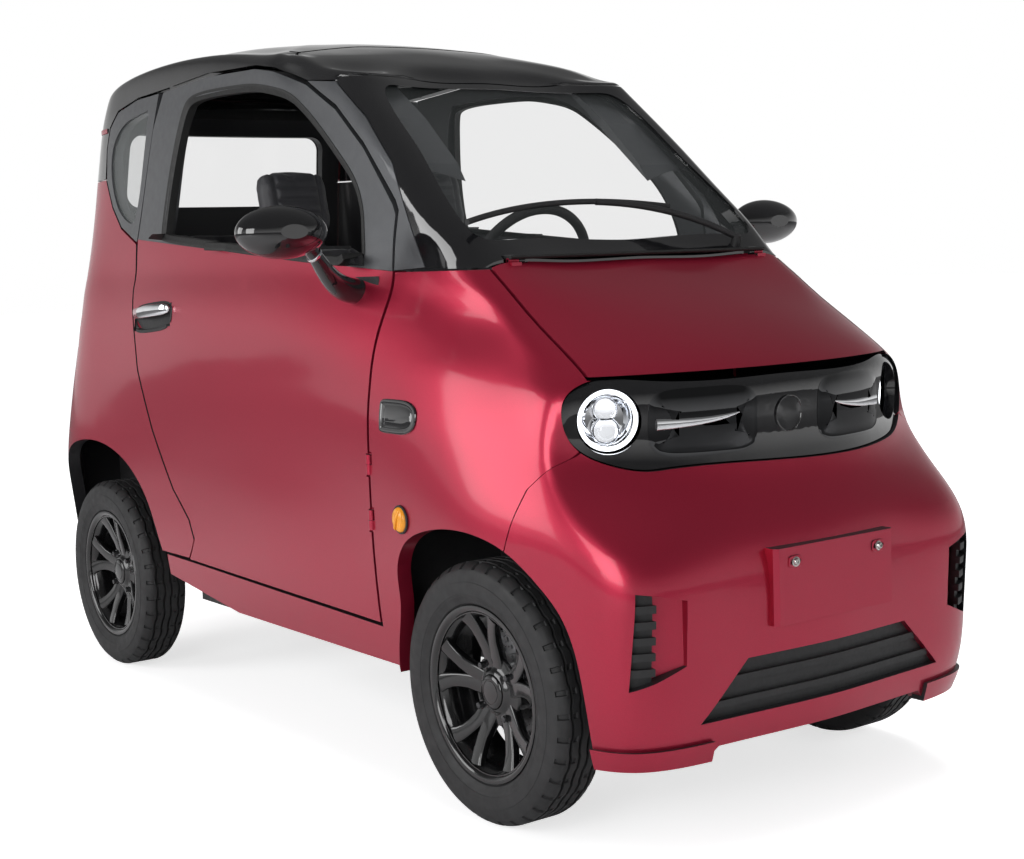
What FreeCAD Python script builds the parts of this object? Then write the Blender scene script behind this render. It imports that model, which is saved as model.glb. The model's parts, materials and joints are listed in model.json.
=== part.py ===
"""Two-door electric microcar, built as an assembly of separate solids.

Units are millimetres.  X points forward, Y to the car's left, Z up, and the
origin lies on the ground below the middle of the car's length and width.
Every solid is written in its place in the whole car.
"""

import FreeCAD
import Part
import math
import os

V = FreeCAD.Vector

# Driving dimensions of the whole car
WHEELBASE = 1730.0
FRONT_OVERHANG = 435.0
REAR_OVERHANG = 375.0
LENGTH = WHEELBASE + FRONT_OVERHANG + REAR_OVERHANG
BOSS_X = FRONT_OVERHANG - 0.2
HEIGHT = 1620.0
HALF_WIDTH = 540.0
XF = LENGTH / 2 - FRONT_OVERHANG
XR = XF - WHEELBASE

# Wheels: a 125/80 R12 tyre on a 12 inch rim
TYRE_R = 250.0
TYRE_HALF = 62.0
TYRE_OUT = 10.0
HUB_Z = 250.0
HALF_TRACK = 441.0
BEAD_R = 152.0
LIP_R = 169.0
SPINDLE_R = 15.0
RUN = 0.05

# Walls and gaps
WALL = 32.0
GLASS_IN = 4.0
GLASS_T = 5.0
GAP = 6.0
LINE = 4.0

# Steering and door axes
KING_Y = 370.0
KING_R = 9.0
DOOR_X = XF - 325.0
DOOR_Y = 525.0
HINGE_Z = (560.0, 672.0)
PIN_R = 4.0

# Hood and tailgate axes
HOOD_X = XF - 84.0
HOOD_Z = 1057.0
HOOD_PIN_R = 3.0
GATE_X = XR - 186.0
GATE_Z = 1492.0
GATE_PIN_R = 5.0


def front(x):
    """Row X of a point given from the front axle."""
    return XF + x


def monotone(table, t):
    """Smooth value at t through (t, value) pairs without overshoot."""
    n = len(table)
    if t <= table[0][0]:
        return table[0][1]
    if t >= table[-1][0]:
        return table[-1][1]
    h = [table[i + 1][0] - table[i][0] for i in range(n - 1)]
    d = [(table[i + 1][1] - table[i][1]) / h[i] for i in range(n - 1)]
    m = [d[0]]
    for i in range(1, n - 1):
        if d[i - 1] * d[i] <= 0:
            m.append(0.0)
        else:
            a = 2 * h[i] + h[i - 1]
            b = h[i] + 2 * h[i - 1]
            m.append((a + b) / (a / d[i - 1] + b / d[i]))
    m.append(d[-1])
    i = max(k for k in range(n - 1) if table[k][0] <= t)
    s = (t - table[i][0]) / h[i]
    y0, y1 = table[i][1], table[i + 1][1]
    return (
        y0 * (1 + 2 * s) * (1 - s) ** 2
        + y1 * s * s * (3 - 2 * s)
        + h[i] * (m[i] * s * (1 - s) ** 2 + m[i + 1] * s * s * (s - 1))
    )


# The body's outer skin as rings from the lower lip to the roof.  Each ring is
# given from the front axle: height, nose, front corner, where the side
# begins, seven half widths along the side, where it ends, rear corner, tail.
SIDE_AT = (0.0, 0.088, 0.26, 0.458, 0.662, 0.889, 1.0)
RINGS = [
    (110, 380, (330, 385), (225, 462), (476, 480, 480, 480, 488, 484), (-1915, 478), (-2020, 400), -2045),
    (180, 408, (352, 424), (232, 474), (486, 488, 488, 488, 494, 490), (-1925, 484), (-2040, 408), -2068),
    (250, 422, (364, 440), (236, 482), (494, 500, 500, 500, 504, 500), (-1932, 494), (-2052, 414), -2084),
    (330, 424, (368, 446), (236, 492), (510, 512, 512, 512, 518, 514), (-1938, 506), (-2056, 418), -2088),
    (420, 426, (372, 448), (232, 500), (526, 520, 520, 519, 530, 524), (-1942, 516), (-2062, 420), -2096),
    (500, 421, (372, 446), (228, 505), (536, 524, 522, 520, 536, 530), (-1942, 520), (-2064, 420), -2099.7),
    (560, 402, (342, 445), (222, 506), (538, 525, 521, 521, 538, 533), (-1938, 520), (-2058, 418), -2091),
    (620, 362, (280, 446), (205, 500), (534, 525, 519, 521, 536, 532), (-1930, 517), (-2044, 414), -2080),
    (690, 330, (220, 448), (170, 490), (526, 524, 518, 521, 530, 526), (-1918, 511), (-2026, 410), -2064),
    (760, 325, (206, 447), (142, 480), (516, 522, 517, 520, 524, 519), (-1905, 504), (-2002, 406), -2040),
    (820, 322, (204, 434), (112, 466), (502, 516, 515, 518, 518, 512), (-1894, 497), (-1984, 404), -2024),
    (860, 284, (182, 408), (84, 452), (490, 512, 514, 516, 512, 506), (-1888, 492), (-1974, 402), -2014),
    (910, 206, (112, 398), (40, 436), (470, 506, 511, 512, 506, 500), (-1882, 486), (-1966, 400), -2006),
    (960, 112, (38, 391), (-36, 428), (456, 496, 505, 506, 498, 492), (-1876, 478), (-1958, 398), -1998),
    (1010, 6, (-32, 388), (-120, 430), (448, 482, 492, 494, 486, 482), (-1872, 470), (-1952, 396), -1990),
    (1053, -82, (-92, 386), (-190, 430), (448, 470, 478, 480, 474, 470), (-1869, 460), (-1947, 394), -1984),
]
UPPER = [
    ((1110, 1112, 1112), -156, (-158, 396), (-268, 434), (448, 462, 468, 470, 464, 458), (-1864, 448), (-1940, 392), -1974),
    ((1200, 1205, 1205), -270, (-266, 396), (-384, 428), (438, 448, 453, 454, 448, 442), (-1858, 432), (-1930, 386), -1962),
    ((1300, 1310, 1305), -396, (-384, 392), (-512, 420), (428, 434, 437, 437, 433, 427), (-1852, 418), (-1918, 378), -1950),
    ((1390, 1410, 1400), -510, (-494, 386), (-640, 411), (416, 420, 421, 421, 418, 414), (-1846, 406), (-1902, 368), -1934),
    ((1440, 1475, 1458), -574, (-556, 381), (-726, 404), (408, 409, 409, 409, 408, 404), (-1838, 398), (-1888, 358), -1920),
    ((1468, 1516, 1500), -614, (-596, 374), (-790, 396), (400, 401, 401, 401, 400, 396), (-1828, 390), (-1874, 346), -1905),
]
CROWN = [(-1905, 1528), (-1880, 1556), (-1830, 1582), (-1740, 1602), (-1600, 1615), (-1400, 1619), (-1200, 1611),
         (-1040, 1597), (-900, 1576), (-800, 1552), (-700, 1518), (-650, 1496), (-610, 1474)]
LID = [
    (-645, (-632, 362), (-810, 384), 386, (-1815, 376), (-1860, 334), -1888),
    (-700, (-688, 330), (-850, 350), 352, (-1780, 342), (-1822, 306), -1850),
    (-790, (-780, 270), (-920, 284), 286, (-1712, 278), (-1750, 250), -1776),
    (-920, (-912, 186), (-1030, 194), 196, (-1620, 190), (-1650, 172), -1670),
    (-1090, (-1084, 96), (-1160, 98), 99, (-1520, 97), (-1540, 88), -1552),
]


def roof_z(x, y):
    """Height of the roof, x from the front axle."""
    t = min(max((-640.0 - x) / 380.0, 0.0), 1.0)
    drop = 9.0 + 35.0 * t * t * (3 - 2 * t)
    return monotone(CROWN, x) - drop * (abs(y) / 386.0) ** 2.4


def lay(nose, corner, start, widths, end, back, tail):
    """Half a ring of (x, y) points from nose to tail."""
    pts = [(nose, 0.0), (nose - 0.22 * (nose - corner[0]), corner[1] * 0.52), corner, start]
    for s, w in zip(SIDE_AT[1:], widths):
        pts.append((start[0] + (end[0] - start[0]) * s, w))
    pts[-1] = end
    pts += [back, (tail + 0.22 * (back[0] - tail), back[1] * 0.52), (tail, 0.0)]
    return pts


def rings():
    """All rings of the skin as half loops of points."""
    out = []
    for z, nose, corner, start, widths, end, back, tail in RINGS:
        out.append([V(front(x), y, z) for x, y in lay(nose, corner, start, widths, end, back, tail)])
    for zs, nose, corner, start, widths, end, back, tail in UPPER:
        half = lay(nose, corner, start, widths, end, back, tail)
        zt = [zs[0], zs[0], zs[0] + 0.08 * (zs[1] - zs[0]), zs[0] + 0.6 * (zs[1] - zs[0])]
        zt += [zs[1]] * 5
        zt += [zs[1] + 0.4 * (zs[2] - zs[1]), zs[2], zs[2], zs[2]]
        out.append([V(front(p[0]), p[1], z) for p, z in zip(half, zt)])
    for nose, corner, start, wide, end, back, tail in LID:
        half = lay(nose, corner, start, (wide,) * 6, end, back, tail)
        out.append([V(front(x), y, roof_z(x, y)) for x, y in half])
    half = lay(-1260, (-1258, 30), (-1290, 32), (32,) * 6, (-1400, 32), (-1412, 30), -1416)
    out.append([V(front(x), y, 1619.0) for x, y in half])
    return out


def closed(half):
    """Half ring to full ring, seam at the tail."""
    left = half[:]
    right = [V(p.x, -p.y, p.z) for p in half[1:-1]]
    return list(reversed(right)) + [left[0]] + left[1:]


def skin(depth):
    """Solid inside the skin pushed in by depth."""
    full = [closed(h) for h in rings()]
    rows = len(full)
    n = len(full[0])
    around, up = [0.0], [0.0]
    for i in range(n):
        leg = sum((full[j][(i + 1) % n] - full[j][i]).Length ** 0.5 for j in (4, 9, 15, 19)) / 4
        around.append(around[-1] + leg)
    for j in range(1, rows):
        leg = sum((full[j][i] - full[j - 1][i]).Length for i in range(n)) / n
        up.append(up[-1] + leg ** 0.6)
    around = [t / around[-1] for t in around]
    up = [t / up[-1] for t in up]
    curves = []
    for j in range(rows):
        pts = []
        for i in range(n):
            a = full[j][(i + 1) % n] - full[j][i - 1]
            b = full[min(j + 1, rows - 1)][i] - full[max(j - 1, 0)][i]
            nrm = a.cross(b)
            nrm.normalize()
            if j == rows - 1:
                nrm = V(0, 0, 1)
            pts.append(full[j][i] - nrm * depth)
        if j == 0:
            pts = [V(p.x, p.y, RINGS[0][0] + depth) for p in pts]
        curve = Part.BSplineCurve()
        curve.interpolate(Points=pts, PeriodicFlag=True, Parameters=around)
        curves.append(curve)
    columns = []
    for i in range(curves[0].NbPoles):
        column = Part.BSplineCurve()
        column.interpolate(Points=[c.getPole(i + 1) for c in curves], Parameters=up)
        columns.append(column)
    surface = Part.BSplineSurface()
    surface.buildFromPolesMultsKnots([c.getPoles() for c in columns], curves[0].getMultiplicities(),
                                     columns[0].getMultiplicities(), curves[0].getKnots(), columns[0].getKnots(),
                                     True, False, 3, 3)
    side = surface.toShape()
    ends = [Part.Face(Part.Wire([e])) for e in side.Edges if e.BoundBox.ZLength < 1.0]
    shell = Part.Shell([side] + ends)
    shell.sewShape()
    shell.fix(0.001, 0.001, 0.01)
    solid = Part.Solid(shell)
    solid.fix(0.001, 0.001, 0.01)
    if solid.Volume < 0:
        solid = Part.Solid(shell.reversed())
    return solid


def hollow(a, b):
    """Wall between the skin pushed in by a and by b, a closed hollow solid."""
    out, core = skin(a), skin(b)
    solid = Part.makeSolid(Part.Compound([out.Shells[0], core.Shells[0].reversed()]))
    return solid


def poly(points, plane, low, high):
    """Prism from a closed outline; plane names the two axes of its points."""
    if plane == "xz":
        pts = [V(front(a), low, b) for a, b in points]
        way = V(0, high - low, 0)
    elif plane == "yz":
        pts = [V(low, a, b) for a, b in points]
        way = V(high - low, 0, 0)
    else:
        pts = [V(front(a), b, low) for a, b in points]
        way = V(0, 0, high - low)
    face = Part.Face(Part.makePolygon(pts + [pts[0]]))
    return face.extrude(way)


def smooth(points, plane, low, high, corners=()):
    """Prism whose outline is a closed spline through the points."""
    if plane == "xz":
        pts = [V(front(a), low, b) for a, b in points]
        way = V(0, high - low, 0)
    elif plane == "yz":
        pts = [V(low, a, b) for a, b in points]
        way = V(high - low, 0, 0)
    else:
        pts = [V(front(a), b, low) for a, b in points]
        way = V(0, 0, high - low)
    if corners:
        edges = []
        for a, b in zip(corners, corners[1:] + (corners[0] + len(pts),)):
            run = [pts[k % len(pts)] for k in range(a, b + 1)]
            if len(run) == 2:
                edges.append(Part.makeLine(run[0], run[1]))
            else:
                c = Part.BSplineCurve()
                c.interpolate(run)
                edges.append(c.toShape())
        wire = Part.Wire(edges)
    else:
        c = Part.BSplineCurve()
        c.interpolate(Points=pts, PeriodicFlag=True)
        wire = Part.Wire([c.toShape()])
    return Part.Face(wire).extrude(way)


def rounded(corners, plane, low, high):
    """Prism whose outline is a polygon with each corner (a, b, radius) rounded."""
    n = len(corners)
    edges, ends = [], []
    for i in range(n):
        a, b, r = corners[i]
        p = V(a, b, 0)
        u = V(*corners[i - 1][:2], 0) - p
        w = V(*corners[(i + 1) % n][:2], 0) - p
        u.normalize()
        w.normalize()
        half = math.acos(max(-1.0, min(1.0, u.dot(w)))) / 2
        t = r / math.tan(half)
        m = u + w
        m.normalize()
        mid = p + m * (r / math.sin(half) - r)
        ends.append((p + u * t, mid, p + w * t))
    spot = {"xz": lambda q: V(front(q.x), low, q.y), "yz": lambda q: V(low, q.x, q.y),
            "xy": lambda q: V(front(q.x), q.y, low)}[plane]
    for i in range(n):
        a, m, b = (spot(q) for q in ends[i])
        edges.append(Part.Arc(a, m, b).toShape())
        edges.append(Part.makeLine(b, spot(ends[(i + 1) % n][0])))
    way = {"xz": V(0, high - low, 0), "yz": V(high - low, 0, 0), "xy": V(0, 0, high - low)}[plane]
    return Part.Face(Part.Wire(edges)).extrude(way)


def box(x0, x1, y0, y1, z0, z1):
    """Box between two corners, X from the front axle."""
    return Part.makeBox(x1 - x0, y1 - y0, z1 - z0, V(front(x0), y0, z0))


def cyl(r, a, b):
    """Cylinder of radius r from point a to point b."""
    way = b - a
    return Part.makeCylinder(r, way.Length, a, way)


def rod(r, points):
    """Round rod along a smooth curve through the points."""
    if len(points) == 2:
        return cyl(r, points[0], points[1])
    curve = Part.BSplineCurve()
    curve.interpolate(points)
    start = Part.Wire([Part.makeCircle(r, points[0], curve.tangent(0.0)[0])])
    return Part.Wire([curve.toShape()]).makePipeShell([start], True, False)


def mirror(shape):
    """The same solid on the other side of the car."""
    return shape.mirror(V(0, 0, 0), V(0, 1, 0))


def biggest(shape):
    """The largest solid of a shape."""
    return max(shape.Solids, key=lambda s: s.Volume)


NODES = {}


def put(name, shape, keep=False):
    """Keep a finished solid under its node name."""
    solid = shape if keep else biggest(shape)
    NODES[name] = solid


def pair(name, shape):
    """Keep a solid for the right side and its mirror for the left."""
    solid = biggest(shape)
    NODES[name + "_right"] = solid
    NODES[name + "_left"] = mirror(solid)


# Lines of the side view, x from the front axle
ARCH_F = [(-284, 240), (-274, 285), (-252, 345), (-238, 400), (-236, 459), (-203, 513), (-140, 545), (-54, 563),
          (43, 563), (133, 537), (203, 484), (245, 438), (270, 384), (283, 311), (287, 243), (288, 150)]
ARCH_R = [(-1984, 235), (-1990, 302), (-1996, 380), (-1990, 450), (-1960, 520), (-1890, 582), (-1800, 612), (-1700, 618),
          (-1608, 605), (-1487, 554), (-1407, 471), (-1361, 373), (-1339, 312), (-1330, 250)]
DOOR_REAR = [(-1207, 350), (-1184, 380), (-1163, 411), (-1184, 457), (-1260, 524), (-1358, 666), (-1438, 813),
             (-1479, 944), (-1504, 1015), (-1520, 1130)]
FRAME_OUT = [(-331, 1160), (-344, 1180), (-466, 1303), (-584, 1392), (-711, 1456), (-860, 1502), (-949, 1517), (-1195, 1526),
             (-1441, 1512)]
STRIP_OUT = [(-230, 1050), (-288, 1142), (-370, 1262), (-482, 1364), (-604, 1450)]
QUARTER = [(-1472, 1510), (-1600, 1506), (-1718, 1484), (-1766, 1445), (-1780, 1390), (-1766, 1309), (-1706, 1235),
           (-1633, 1179), (-1526, 1138)]
SEAM_F = [(250, 760), (221, 710), (168, 655), (143, 594), (120, 520)]


def shift(points, dx, dz):
    return [(x + dx, z + dz) for x, z in points]


SHELL = hollow(0.0, WALL)
GLASS = hollow(GLASS_IN, GLASS_IN + GLASS_T)
SLOT = hollow(GLASS_IN, GLASS_IN + GLASS_T + 0.4)
RIGHT = box(-2300, 600, -700, -0.5, 60, 1700)
HALF = SHELL.common(RIGHT)

# Cuts shared by the lower panels
arch_f = smooth(ARCH_F + [(288, 60), (-284, 60)], "xz", -700, -300, (0, 15, 16, 17))
arch_r = smooth(ARCH_R + [(-1330, 60), (-1984, 60)], "xz", -700, -300, (0, 13, 14, 15))

# Roof
roof_edge = [(-600, 1463), (-604, 1453), (-711, 1464), (-860, 1508), (-949, 1523), (-1195, 1532), (-1441, 1518), (-1600, 1512),
             (-1722, 1490), (-1772, 1449), (-1786, 1392), (-1778, 1312), (-2200, 1312), (-2200, 1700), (-500, 1700),
             (-500, 1463)]
roof = SHELL.common(poly(roof_edge, "xz", -700, 700))
gate_clear = poly([(-376, 690), (376, 690), (366, 1443), (330, GATE_Z + 8), (-330, GATE_Z + 8), (-366, 1443)],
                  "yz", front(-2300), front(-1800))
put("roof_panel", roof.cut(gate_clear))

# Screen frame with pillars, header and cowl
frame_side = [(-224, 1046), (-227, 1050), (-285, 1142), (-367, 1263), (-479, 1366), (-600, 1450), (-596, 1459),
              (-88, 1459), (-88, 1046)]
screen_hole = smooth([(-300, 1098), (0, 1092), (300, 1098), (372, 1112), (378, 1150), (352, 1300), (338, 1400),
                      (318, 1432), (270, 1440), (0, 1443), (-270, 1440), (-318, 1432), (-338, 1400), (-352, 1300),
                      (-378, 1150), (-372, 1112)], "yz", front(-900), front(300))
frame = SHELL.common(poly(frame_side, "xz", -700, 700))
put("screen_frame", frame.cut(screen_hole))
glass_cut = smooth([(-310, 1086), (0, 1080), (310, 1086), (382, 1100), (390, 1150), (364, 1300), (350, 1405),
                    (326, 1444), (270, 1452), (0, 1455), (-270, 1452), (-326, 1444), (-350, 1405), (-364, 1300),
                    (-390, 1150), (-382, 1100)], "yz", front(-900), front(300))
screen = GLASS.common(glass_cut)
put("windshield", screen)
glass_slot = glass_cut.common(SLOT)
for name in ("screen_frame", "roof_panel"):
    NODES[name] = biggest(NODES[name].cut(glass_slot))

# Bonnet
hood_plan = [(-80, -382), (74, -388), (212, -391), (420, -391), (420, 391), (212, 391), (74, 388), (-80, 382)]
hood = SHELL.common(poly(hood_plan, "xy", 847, 1200))
cowl = NODES["screen_frame"]
for y in (-330, 330):
    s = 1 if y > 0 else -1
    eye = cyl(5.5, V(HOOD_X, y - 12, HOOD_Z), V(HOOD_X, y + 12, HOOD_Z))
    eye = eye.fuse(box(-84, -70, y - 12, y + 12, HOOD_Z - 18, HOOD_Z - 3))
    hood = hood.fuse(eye).cut(cyl(HOOD_PIN_R + RUN, V(HOOD_X, y - 20, HOOD_Z), V(HOOD_X, y + 20, HOOD_Z)))
    lug = cyl(5.5, V(HOOD_X, y - s * 13, HOOD_Z), V(HOOD_X, y - s * 27, HOOD_Z))
    lug = lug.fuse(box(-98, -84, min(y - s * 13, y - s * 27), max(y - s * 13, y - s * 27), HOOD_Z - 14, HOOD_Z - 1))
    lug = lug.fuse(cyl(HOOD_PIN_R, V(HOOD_X, y + s * 12, HOOD_Z), V(HOOD_X, y - s * 20, HOOD_Z)))
    hood = hood.cut(cyl(9, V(HOOD_X, y - s * 12, HOOD_Z), V(HOOD_X, y - s * 34, HOOD_Z)))
    cowl = cowl.cut(box(-97, -60, min(y - s * 12.6, y + s * 18), max(y - s * 12.6, y + s * 18), HOOD_Z - 40, HOOD_Z + 20)).fuse(lug)
NODES["screen_frame"] = biggest(cowl)
put("bonnet", hood)
hood_clear = poly([(-88, -388), (74, -394), (212, -397), (420, -397), (420, 397), (212, 397), (74, 394), (-88, 388)],
                  "xy", 841, 1200)

# Lamp band with its rounded ends
band = [(-300, 676), (0, 672), (300, 676), (380, 690), (428, 720), (448, 768), (440, 812), (402, 838), (300, 839),
        (0, 834), (-300, 839), (-402, 838), (-440, 812), (-448, 768), (-428, 720), (-380, 690)]
band_cut = smooth(band, "yz", front(90), front(600))
put("lamp_band", hollow(6.0, 26.0).common(smooth([(y * 0.993, z + (3 if z < 760 else -3)) for y, z in band],
                                                                      "yz", front(90), front(600))))

tab = hollow(20.0, 38.0).common(box(200, 500, -60, 60, 680, 700)).fuse(hollow(WALL + 0.3, 38.0).common(
    box(200, 500, -60, 60, 650, 690)))
put("lamp_band", NODES["lamp_band"].fuse(tab))

# Front bumper
seam = SEAM_F
bumper_side = [(600, 60), (600, 900), (250, 900)] + seam + [(120, 60)]
bumper = SHELL.common(poly(bumper_side, "xz", -700, 700))
bumper = bumper.cut(poly([(-700, 60), (700, 60), (700, 165), (296, 165), (268, 190), (-268, 190), (-296, 165),
                          (-700, 165)], "yz", front(0), front(700)))
bumper = bumper.cut(band_cut).cut(box(-100, 600, -600, 600, 838, 1300))
bumper = bumper.cut(arch_f).cut(mirror(arch_f))
grille_open = poly([(-209, 342), (209, 342), (317, 239), (-317, 239)], "yz", front(200), front(700))
bumper = bumper.cut(grille_open)
vent_out = [(-440, 486), (-404, 480), (-404, 328), (-448, 314)]
vent_open = poly(vent_out, "yz", front(200), front(700))
scoop = poly([(396, -348), (600, -348), (600, -404.5), (362, -404.5)], "xy", 300, 500).common(
    poly([(-404.5, 480), (-348, 466), (-348, 350), (-404.5, 328)], "yz", front(200), front(700)))
lip = hollow(-8.0, 20.0).common(box(100, 600, -600, -285, 165, 203)).cut(arch_f)
boss = poly([(396, -157), (427, -157), (BOSS_X, -149), (BOSS_X, 149), (427, 157), (396, 157)], "xy", 392, 532)
bumper = bumper.cut([vent_open, mirror(vent_open), scoop, mirror(scoop)]).fuse([lip, mirror(lip), boss])
for y in (-110, 110):
    bumper = bumper.cut(cyl(3.0, V(front(380), y, 505), V(front(480), y, 505)))
put("front_bumper", bumper)

# Grille and vents set in behind the bumper
shade = hollow(14.0, 26.0)
grille = shade.common(poly([(-214, 347), (214, 347), (324, 234), (-324, 234)], "yz", front(200), front(700)))
bars = hollow(5.0, 20.0)
for z in (267, 307):
    wide = 317 - (z - 239) * 1.05 + 2
    grille = grille.fuse(bars.common(poly([(-wide, z - 6), (wide, z - 6), (wide - 6, z + 6), (-wide + 6, z + 6)],
                                          "yz", front(200), front(700))))
put("lower_grille", grille)
vent = shade.common(poly([(-445, 491), (-405, 484), (-405, 322), (-453, 308)], "yz", front(200), front(700)))
for k in range(5):
    z = 345 + 28 * k
    vent = vent.fuse(bars.common(poly([(-449, z - 7), (-404.6, z - 7), (-404.6, z + 7), (-449, z + 7)], "yz", front(200), front(700))))
pair("vent", vent)
for side in ("right", "left"):
    NODES["front_bumper"] = NODES["front_bumper"].cut(NODES["vent_" + side])
NODES["front_bumper"] = biggest(NODES["front_bumper"].cut(NODES["lower_grille"]))

# Wings, each in one with the sill under the door
wing_side = [(-80, 1042), (-320.6, 1042), (-320.6, 330), (-1190, 350), (-1330, 353), (-1330, 302),
             (-980, 255), (-284, 255), (-284, 240), (200, 240), (116, 517), (140, 592), (164, 653), (216, 706), (240, 756),
             (260, 900), (400, 900), (400, 1060), (-80, 1060)]
wing = HALF.common(poly(wing_side, "xz", -700, -250)).cut(hood_clear).cut(band_cut).cut(arch_f)
for z in HINGE_Z:
    wing = wing.cut(cyl(12.0, V(DOOR_X, -DOOR_Y, z - 10.5), V(DOOR_X, -DOOR_Y, z + 16.0)))
    lug = cyl(7.0, V(DOOR_X, -DOOR_Y, z - 30), V(DOOR_X, -DOOR_Y, z - 10.5))
    lug = lug.fuse(box(-325, -311, -DOOR_Y, -DOOR_Y + 22, z - 30, z - 10.5))
    lug = lug.fuse(cyl(PIN_R, V(DOOR_X, -DOOR_Y, z - 12), V(DOOR_X, -DOOR_Y, z + 10)))
    wing = wing.fuse(lug)
pair("wing", wing)

# Doors
door_poly = [(-329, 338), (-329, 1044), (-1514, 1142.7)] + list(reversed(shift(DOOR_REAR[1:-1], 3, 1))) + [(-1200, 357)]
door = HALF.common(poly(door_poly, "xz", -700, -250))
recess = poly([(-1468, 910), (-1250, 926), (-1250, 984), (-1468, 968)], "xz", -700, -498)
door = door.cut(recess)
for z in HINGE_Z:
    door = door.cut(cyl(12.0, V(DOOR_X, -DOOR_Y, z - 36), V(DOOR_X, -DOOR_Y, z - 9.5)))
    door = door.cut(cyl(9.0, V(DOOR_X, -DOOR_Y, z - 10), V(DOOR_X, -DOOR_Y, z + 12)))
    knuckle = cyl(7.0, V(DOOR_X, -DOOR_Y, z - 9.5), V(DOOR_X, -DOOR_Y, z + 10))
    knuckle = knuckle.fuse(box(-340, -325, -DOOR_Y + 2, -DOOR_Y + 22, z - 9.5, z + 10))
    door = door.fuse(knuckle).cut(cyl(PIN_R + RUN, V(DOOR_X, -DOOR_Y, z - 20), V(DOOR_X, -DOOR_Y, z + 20)))
pair("door", door)

# Grey door window frames
window = smooth([(-426, 1056), (-900, 1096), (-1366, 1138), (-1350, 1300), (-1310, 1450), (-1285, 1480), (-1120, 1481), (-964, 1475),
                 (-779, 1438), (-638, 1350), (-491, 1235), (-448, 1172)], "xz", -700, -250, (0, 2, 5))
ring_out = [(-331, 1045)] + shift(FRAME_OUT, -3, -3) + [(-1480, 1420), (-1514, 1136)]
ring_out[0] = (-331, 1045.0)
trim = HALF.common(poly(ring_out, "xz", -700, -250)).cut(window)
trim = trim.cut(poly([(-300, 1041.9), (-1560, 1146.9), (-1560, 900), (-300, 900)], "xz", -700, -250))
pair("door_frame", trim)

# Grey strip on the windscreen pillar with the fixed corner piece
strip_poly = STRIP_OUT + [(-711, 1462), (-584, 1399), (-466, 1310), (-338, 1187), (-324, 1166), (-324, 1046)]
pair("pillar_trim", HALF.common(poly(strip_poly, "xz", -700, -250)))

# Rear bumper
rear_side = [(-2300, 205), (-2002, 205), (-2006, 400), (-1996, 520), (-1960, 600), (-1950, 684), (-2300, 684)]
rear_bumper = SHELL.common(poly(rear_side, "xz", -700, 700)).cut(arch_r).cut(mirror(arch_r))
put("rear_bumper", rear_bumper)
bumper_rear_cut = poly([(-2300, 60), (-1997, 60), (-2001, 400), (-1991, 522), (-1955, 602), (-1945, 690), (-2300, 690)],
                       "xz", -700, 700)

# Rear quarter
quarter_low = [(-1527, 1132), (-1634, 1173), (-1710, 1231), (-1771, 1305), (-1774, 1308)] + [
    (-2300, 1308), (-2300, 215), (-1330, 215), (-1213, 352)] + shift(DOOR_REAR[1:], -4, -1)
quarter = HALF.common(poly(quarter_low, "xz", -700, -250)).cut(arch_r)
quarter = quarter.cut(gate_clear).cut(bumper_rear_cut).cut(box(-1460, -1150, -700, 0, 60, 360))
pair("quarter_panel", quarter)

# Grey surround with the fixed quarter glass
around = smooth(QUARTER + [(-1518, 1138), (-1478, 1400)], "xz", -700, -250, (0, 8, 9))
light = smooth([(-1530, 1473), (-1600, 1464), (-1700, 1432), (-1737, 1387), (-1728, 1310), (-1680, 1240), (-1595, 1191),
                (-1552, 1190), (-1543, 1207), (-1524, 1340), (-1520, 1440)], "xz", -700, -250)
around_in = poly(shift(QUARTER[:9], 0, 0) + [(-1520, 1138), (-1482, 1420)], "xz", -700, -250)
surround = HALF.common(around_in)
pane = smooth([(-1526, 1480), (-1602, 1472), (-1706, 1438), (-1745, 1388), (-1736, 1306), (-1686, 1233), (-1597, 1183),
               (-1548, 1182), (-1536, 1204), (-1517, 1340), (-1513, 1444)], "xz", -700, -250)
surround = surround.cut(light)
quarter_glass = GLASS.common(pane)
surround = surround.cut(pane.common(SLOT))
pair("quarter_surround", surround)
pair("quarter_glass", quarter_glass)

# Tailgate with the rear window
gate_poly = [(-370, 696), (370, 696), (360, 1438), (325, GATE_Z - 3), (-325, GATE_Z - 3), (-360, 1438)]
gate = SHELL.common(poly(gate_poly, "yz", front(-2300), front(-1800)))
rear_hole = rounded([(-316, 1240, 40), (316, 1240, 40), (306, 1441, 40), (-306, 1441, 40)], "yz", front(-2300), front(-1700))
rear_pane = rounded([(-328, 1228, 46), (328, 1228, 46), (318, 1453, 46), (-318, 1453, 46)], "yz", front(-2300), front(-1700))
gate = gate.cut(rear_hole).cut(rear_pane.common(SLOT))
for y in (-240, 240):
    eye = cyl(11.0, V(GATE_X, y - 12, GATE_Z), V(GATE_X, y + 12, GATE_Z)).fuse(
        box(-1916, -1890, y - 12, y + 12, GATE_Z - 30, GATE_Z - 2))
    gate = gate.cut(cyl(14.0, V(GATE_X, y - 30, GATE_Z), V(GATE_X, y + 30, GATE_Z)))
    gate = gate.fuse(eye).cut(cyl(GATE_PIN_R + RUN, V(GATE_X, y - 20, GATE_Z), V(GATE_X, y + 20, GATE_Z)))
roof = NODES["roof_panel"]
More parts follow.
